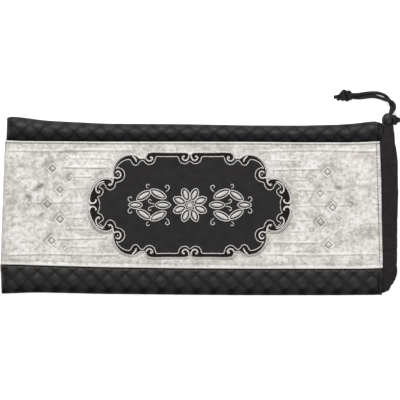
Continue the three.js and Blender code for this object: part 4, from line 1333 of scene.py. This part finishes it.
FRAME_STROKES = {
    # name: width, points
    "bar_curl": (1.7, (
        (44.2, 46.8), (43.4, 45.1), (42, 43.8), (40.4, 43.4), (38.7, 44.1), (37.5, 45.6),
        (37.6, 47), (38.8, 47.9), (39.6, 47.6),
    )),
    "end_hook": (1.7, (
        (101.6, 5.4), (100.6, 2.8), (98.6, 1.7), (96.5, 1.7), (94.8, 2.6), (93.6, 4.4),
    )),
    "tongue": (2.0, (
        (58, 49.3), (56.5, 47.8), (55, 46.3), (54, 44.5), (53.5, 42.6),
    )),
    "side_curl": (1.7, (
        (74.3, 31.4), (73, 33.1), (71.2, 33.4), (69.8, 32.2), (69.2, 30.2), (69.6, 28.2),
        (71, 26.9), (73, 26.5), (75, 27.2), (76.3, 27), (77, 24.8), (77.5, 22), (78.8, 20.1),
        (80.4, 19.5), (81.9, 20),
    )),
    "shoulder": (1.4, (
        (77.8, 23.4), (79.4, 25.2), (82, 25.9), (85, 26), (88.4, 25.2), (91.4, 23.6),
        (94.2, 20.8), (96.6, 17.2), (98.6, 13.2), (100, 9.2), (100.4, 5.6), (99.4, 2.8),
        (97.5, 1.8), (95.4, 2.2), (93.9, 3.7), (93.2, 5.2),
    )),
    "lobe_hook": (1.7, (
        (85.6, 22.9), (88, 22.8), (90.4, 21.8), (92.6, 19.6), (93.8, 17.2), (93.8, 14.8),
        (92.7, 12.7), (91.1, 12), (89.8, 13),
    )),
    "top_curl": (1.7, (
        (5.5, 48.5), (6.8, 48.2), (7.6, 46.9), (7.2, 45.4), (6, 44.3), (4.4, 44), (2.9, 44.7),
        (1.8, 46.1), (1.2, 47.9), (1.3, 49.6),
    )),
    "inner_line": (0.95, (
        (0, 43.5), (1.4, 42.7), (3, 41.4), (5, 40.9), (7.5, 41.3), (9.6, 42.6), (11, 44.7),
        (11.5, 47.2), (13.5, 47.9), (20, 47.9), (28, 47.9), (33.6, 47.8), (34.6, 45.4),
        (36, 42.3), (38, 40.7), (40.5, 40), (43, 40.6), (44.8, 42.1), (46.5, 43.8), (48.5, 43.9),
        (50.5, 42.4), (51.8, 40.4), (53.4, 39.4), (55.4, 39.5), (57, 40.5), (58.3, 42.4),
        (59.4, 44.4), (61, 45.1), (64, 44.6), (67, 43.4), (69.6, 41.6), (71.6, 39.4), (73.9, 36),
    )),
    "inner_side": (0.95, (
        (73.9, 36), (71.6, 36.8), (69, 36), (66.8, 34.3), (65.5, 31.8), (65.2, 29.3), (66, 26.6),
        (67.5, 24.8), (69.5, 23.5), (72, 22.8), (73.8, 22), (74.4, 20.4), (75.2, 18),
        (76.6, 16.3), (78.2, 15.3), (80, 15), (82, 15.7), (83.6, 17.2), (84.6, 19.4), (85.8, 21),
        (87.4, 21.2), (89, 20.2), (90.4, 18.4), (90.8, 17.2),
    )),
    "inner_end": (0.95, (
        (90.8, 17.2), (89, 16.6), (87.6, 15.6), (86.6, 14.2), (86.9, 12.2), (88.1, 10.2),
        (89.8, 8.8), (92.2, 7.7), (91.3, 6), (90.6, 4), (90.3, 2), (90.3, 0),
    )),
}
BULBS = (
    # the round ends of the curls: place and size
    (39.2, 46.7, 1.9), (5.7, 47.9, 1.8), (72.2, 30.0, 1.8), (80.6, 20.9, 1.6), (90.6, 13.6, 1.7),
    (94.2, 4.9, 1.7),
)


def stitch_bars(centre, across, heading, size, base, crown):
    """Points and polygons of thin arched bars, one for each stitch, all at once."""
    crown = np.broadcast_to(np.asarray(crown, float), (len(centre),))[:, None]
    u = np.linspace(-1, 1, BAR_STEPS)
    arch = np.sqrt(np.clip(1 - u ** 2, 0, 1))
    plan = centre[:, None] + across[:, None] * (u[None, :, None] * size[:, None, None] / 2)
    section = ((-0.5, 0.0), (0.0, 1.0), (0.5, 0.0))
    points = np.zeros((len(centre), BAR_STEPS, 3, 3))
    for k, (sideways, up) in enumerate(section):
        points[:, :, k, :2] = plan + heading[:, None] * (sideways * THREAD * 1.25)
        points[:, :, k, 2] = base + (crown * arch * (0.55 + 0.45 * up) + up * THREAD * 0.35)
    n = BAR_STEPS * 3
    start = np.arange(len(centre)) * n
    faces = []
    for i in range(BAR_STEPS - 1):
        for k in range(3):
            a, b = i * 3 + k, i * 3 + (k + 1) % 3
            faces.append(np.stack([start + a, start + b, start + b + 3, start + a + 3], axis=1))
    ends = [np.stack([start, start + 2, start + 1], axis=1),
            np.stack([start + n - 3, start + n - 2, start + n - 1], axis=1)]
    return points.reshape(-1, 3), [np.vstack(faces), np.vstack(ends)]


def stitch_run(line, width, base, crown, taper=1.6):
    """Satin stitches across a line in plan, narrower towards its ends."""
    reach = reach_along(line)
    total = reach[-1]
    at = np.linspace(0, total, max(3, int(total / THREAD_PITCH)))
    centre = sampled(line, reach, at)
    heading = unit(np.gradient(centre, axis=0))
    across = unit(np.stack([-heading[:, 1], heading[:, 0]], axis=1) + heading * THREAD_TILT)
    size = width * (0.45 + 0.55 * np.clip(np.minimum(at, total - at) / taper, 0, 1))
    return stitch_bars(centre, across, heading, size, base, crown)


def quarter_loop(quarter):
    """A closed outline from one quarter's points, given from the top middle to the right end."""
    quarter = quarter * (1, FRAME_STRETCH)
    whole = np.vstack([quarter, quarter[::-1] * (1, -1), quarter * (-1, -1), quarter[::-1] * (-1, 1)])
    keep = np.linalg.norm(whole - np.roll(whole, 1, axis=0), axis=1) > 0.15
    return whole[keep]


def plaque_outline():
    return quarter_loop(spaced(catmull(PLAQUE_EDGE, 6), EDGE_STEP))


def inner_outline():
    """The loop of the thin inner line, between the black satin and the plaque's plain field."""
    points = [FRAME_STROKES["inner_line"][1][0]]
    for name in ("inner_line", "inner_side", "inner_end"):
        points.extend(FRAME_STROKES[name][1][1:])
    return quarter_loop(spaced(catmull(points, 6), EDGE_STEP))


def frame_embroidery():
    """The silver scroll frame: every stroke and bulb of a quarter, stitched in all four."""
    on_plaque = PLAQUE_TOP + THREAD_LIFT["scrolls"]
    rim = (RIM_STROKES, PANEL_LEVEL + THREAD_LIFT["rim"], CROWN["rim"])
    scrolls = (FRAME_STROKES, on_plaque, CROWN["scrolls"])
    parts = []
    for strokes, base, crown in (rim, scrolls):
        for width, points in strokes.values():
            line = spaced(catmull(points, 10), STROKE_STEP)
            for sx, sy in QUARTERS:
                placed = line * (sx, sy * FRAME_STRETCH) + PLAQUE_CENTRE
                parts.append(stitch_run(placed, width, base, crown))
    for x, y, size in BULBS:
        for sx, sy in QUARTERS:
            middle = np.array((x * sx, y * sy * FRAME_STRETCH)) + PLAQUE_CENTRE
            loop = middle + circle(24) * size / 4
            parts.append(stitch_run(loop, size / 2, on_plaque, CROWN["bulbs"], taper=0.1))
    piece = new_mesh("scroll_frame_stitching", *join_parts(parts), SILVER_THREAD)


def flat_face(loops):
    """Triangles that fill an outline, less any further outlines inside it, all facing up."""
    points = np.vstack(loops)
    caps = np.array(tessellate_polygon([[Vector((*p, 0)) for p in loop] for loop in loops]))
    a, b, c = (points[caps[:, k]] for k in range(3))
    turn = (b - a)[:, 0] * (c - a)[:, 1] - (b - a)[:, 1] * (c - a)[:, 0]
    caps[turn < 0] = caps[turn < 0][:, ::-1]
    return caps


def inset_loop(outline, inset):
    """An outline run clockwise, moved inward."""
    heading = np.roll(outline, -1, axis=0) - np.roll(outline, 1, axis=0)
    heading /= np.linalg.norm(heading, axis=1, keepdims=True)
    return outline + np.stack([heading[:, 1], -heading[:, 0]], axis=1) * inset


def satin_band():
    """The black satin stitching between the plaque's edge and the thin inner line."""
    loops = [inset_loop(plaque_outline(), 0.3), inner_outline()]
    caps = flat_face(loops)
    plan = np.vstack(loops) + PLAQUE_CENTRE
    n = len(plan)
    layers = [np.column_stack([plan, np.full(n, PLAQUE_TOP + level)]) for level in SATIN_LEVELS]
    quads = [side_quads(0, len(loops[0]), n), side_quads(len(loops[0]), len(loops[1]), n)]
    polygons = [np.vstack(quads), np.vstack([caps + n, caps[:, ::-1]])]
    piece = new_mesh("black_satin_band", np.vstack(layers), polygons, BLACK_SATIN, smooth=False)


# The middle ornament: petals in mm from the plaque's middle, mirrored left to right.

PETALS = (
    # middle x and y, length, width, turn in degrees
    (27.0, 0, 15.6, 7.4, 0), (31.8, 11.0, 18.0, 7.8, 26), (31.8, -11.0, 18.0, 7.8, -26),
    (46.2, 9.4, 16.8, 7.4, -32), (46.2, -9.4, 16.8, 7.4, 32), (54.4, 0, 13.8, 7.0, 0),
)
LEAF_MARGIN = (4.4, 3.6)  # how much shorter and narrower a leaf's filling is
ROSETTE = {"petals": 8, "middle": 11.3, "length": 13.2, "width": 7.7, "bud": 3.4}
TENDRILS = (
    # width, points; each is mirrored both ways
    (0.9, [(35.5, 1.0), (37.5, 1.4), (39.6, 1.9), (41.4, 3.2), (41.2, 5.0), (39.6, 5.4), (38.7, 4.3)]),
    (0.9, [(24.0, 13.2), (21.4, 15.6), (20.7, 18.3), (22.7, 19.8), (24.6, 18.5), (23.6, 16.9)]),
    (0.9, [(59.6, 3.0), (61.8, 5.2), (61.0, 7.8), (58.8, 7.8), (58.2, 6.1)]),
    (0.8, [(41.5, 16.6), (43.5, 18.4), (43.0, 20.4), (41.2, 20.5), (40.6, 19.1)]),
)


def petal_edge(length, width):
    """A pointed oval, from its tip round and back."""
    x, y = circle(48).T
    return np.stack([x * length / 2, y * np.abs(y) ** 0.35 * width / 2], axis=1)


def petal_stitches(length, width, degrees, place):
    """One petal: a silver outline with a padded satin filling across it."""
    edge = turned(spaced(petal_edge(length, width), 0.3), degrees) + place
    parts = [stitch_run(edge, OUTLINE_THREAD, PLAQUE_TOP, CROWN["lines"], taper=0.4)]
    length, width = length - LEAF_MARGIN[0], width - LEAF_MARGIN[1]
    at = np.linspace(-length / 2, length / 2, max(4, int(length / THREAD_PITCH)))
    share = np.clip(1 - (2 * at / length) ** 2, 0.02, 1)
    middle = turned(np.stack([at, 0 * at], axis=1), degrees) + place
    run = turned(np.array([[1.0, 0.25]]), degrees)[0]
    run /= np.linalg.norm(run)
    across, heading = np.tile((-run[1], run[0]), (len(at), 1)), np.tile(run, (len(at), 1))
    size, crown = width * share ** 0.6, CROWN["leaves"] * share ** 0.4
    parts.append(stitch_bars(middle, across, heading, size, PLAQUE_TOP, crown))
    return parts


def middle_ornament():
    """A plain symmetrical spray of leaves round a rosette, all in silver satin stitch."""
    parts = []
    for x, y, length, width, degrees in PETALS:
        for side in (1, -1):
            place = PLAQUE_CENTRE + (x * side, y)
            parts += petal_stitches(length, width, degrees * side, place)
    count = ROSETTE["petals"]
    for k in range(count):
        degrees = 360 * (k + 0.5) / count
        place = turned(np.array([[ROSETTE["middle"], 0.0]]), degrees)[0] + PLAQUE_CENTRE
        parts += petal_stitches(ROSETTE["length"], ROSETTE["width"], degrees, place)
    for radius, width in ((ROSETTE["bud"], 0.9), (ROSETTE["bud"] / 2 - 0.2, 2.2)):
        loop = PLAQUE_CENTRE + circle(60) * radius
        parts.append(stitch_run(loop, width, PLAQUE_TOP, CROWN["bud"], taper=0.1))
    for width, points in TENDRILS:
        line = spaced(catmull(points, 10), STROKE_STEP)
        for quarter in QUARTERS:
            placed = line * quarter + PLAQUE_CENTRE
            parts.append(stitch_run(placed, width, PLAQUE_TOP, CROWN["lines"], taper=0.8))
    piece = new_mesh("leaf_ornament_stitching", *join_parts(parts), SILVER_THREAD)


def plaque_piece():
    """The plaque: a leather lobed plate with a rounded edge."""
    outline = plaque_outline()
    layers = []
    for inset, rise in PLAQUE_RINGS:
        plan = inset_loop(outline, inset) + PLAQUE_CENTRE
        layers.append(np.column_stack([plan, np.full(len(plan), PLAQUE_LEVEL + rise)]))
    n = len(outline)
    quads = [side_quads(k * n, n, n) for k in range(len(PLAQUE_RINGS) - 1)]
    caps = flat_face([outline])
    top = caps + (len(PLAQUE_RINGS) - 1) * n
    polygons = [np.vstack(quads), np.vstack([top, caps[:, ::-1]])]
    piece = new_mesh("plaque_plate", np.vstack(layers), polygons, PLAQUE_LEATHER, smooth=False)
    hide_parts("plaque")


# Lights, floor and world

def add_light(name, place, size, power):
    """A white round lamp that looks at the origin."""
    data = bpy.data.lights.new(name, "AREA")
    data.shape = "DISK"
    data.size = size
    data.energy = power
    light = bpy.data.objects.new(name, data)
    light.location = place
    light.rotation_euler = (-Vector(place)).to_track_quat("-Z", "Y").to_euler()
    bpy.context.collection.objects.link(light)


def add_floor():
    n = Nodes("floor_paper")
    paper = n.shade({
        "Base Color": n.blend(n.noise(300, detail=2), (0.95, 0.95, 0.95), (0.96, 0.96, 0.96)),
        "Roughness": 0.9,
        "Emission Color": (1, 1, 1),
        "Emission Strength": 0.55,
    })
    mesh = bpy.data.meshes.new("floor")
    corners = [(x * FLOOR_HALF, y * FLOOR_HALF, 0) for x, y in ((-1, -1), (1, -1), (1, 1), (-1, 1))]
    mesh.from_pydata(corners, [], [(0, 1, 2, 3)])
    mesh.materials.append(paper)
    floor = bpy.data.objects.new("floor", mesh)
    bpy.context.collection.objects.link(floor)


def add_world():
    world = bpy.data.worlds.new("studio")
    world.use_nodes = True
    background = world.node_tree.nodes["Background"]
    background.inputs["Color"].default_value = (1, 1, 1, 1)
    background.inputs["Strength"].default_value = 0.4
    bpy.context.scene.world = world


add_world()
add_floor()
for light in LIGHTS:
    add_light(*light)
bpy.context.scene.view_settings.view_transform = "Standard"

for band in BANDS:
    band_piece(*band)
back_piece()
panel_piece()
casing_piece()
plaque_piece()
satin_band()
frame_embroidery()
middle_ornament()
mouth_stitches()

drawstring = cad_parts["drawstring"]
drawstring.data.materials.clear()
drawstring.data.materials.append(CORD_BRAID)
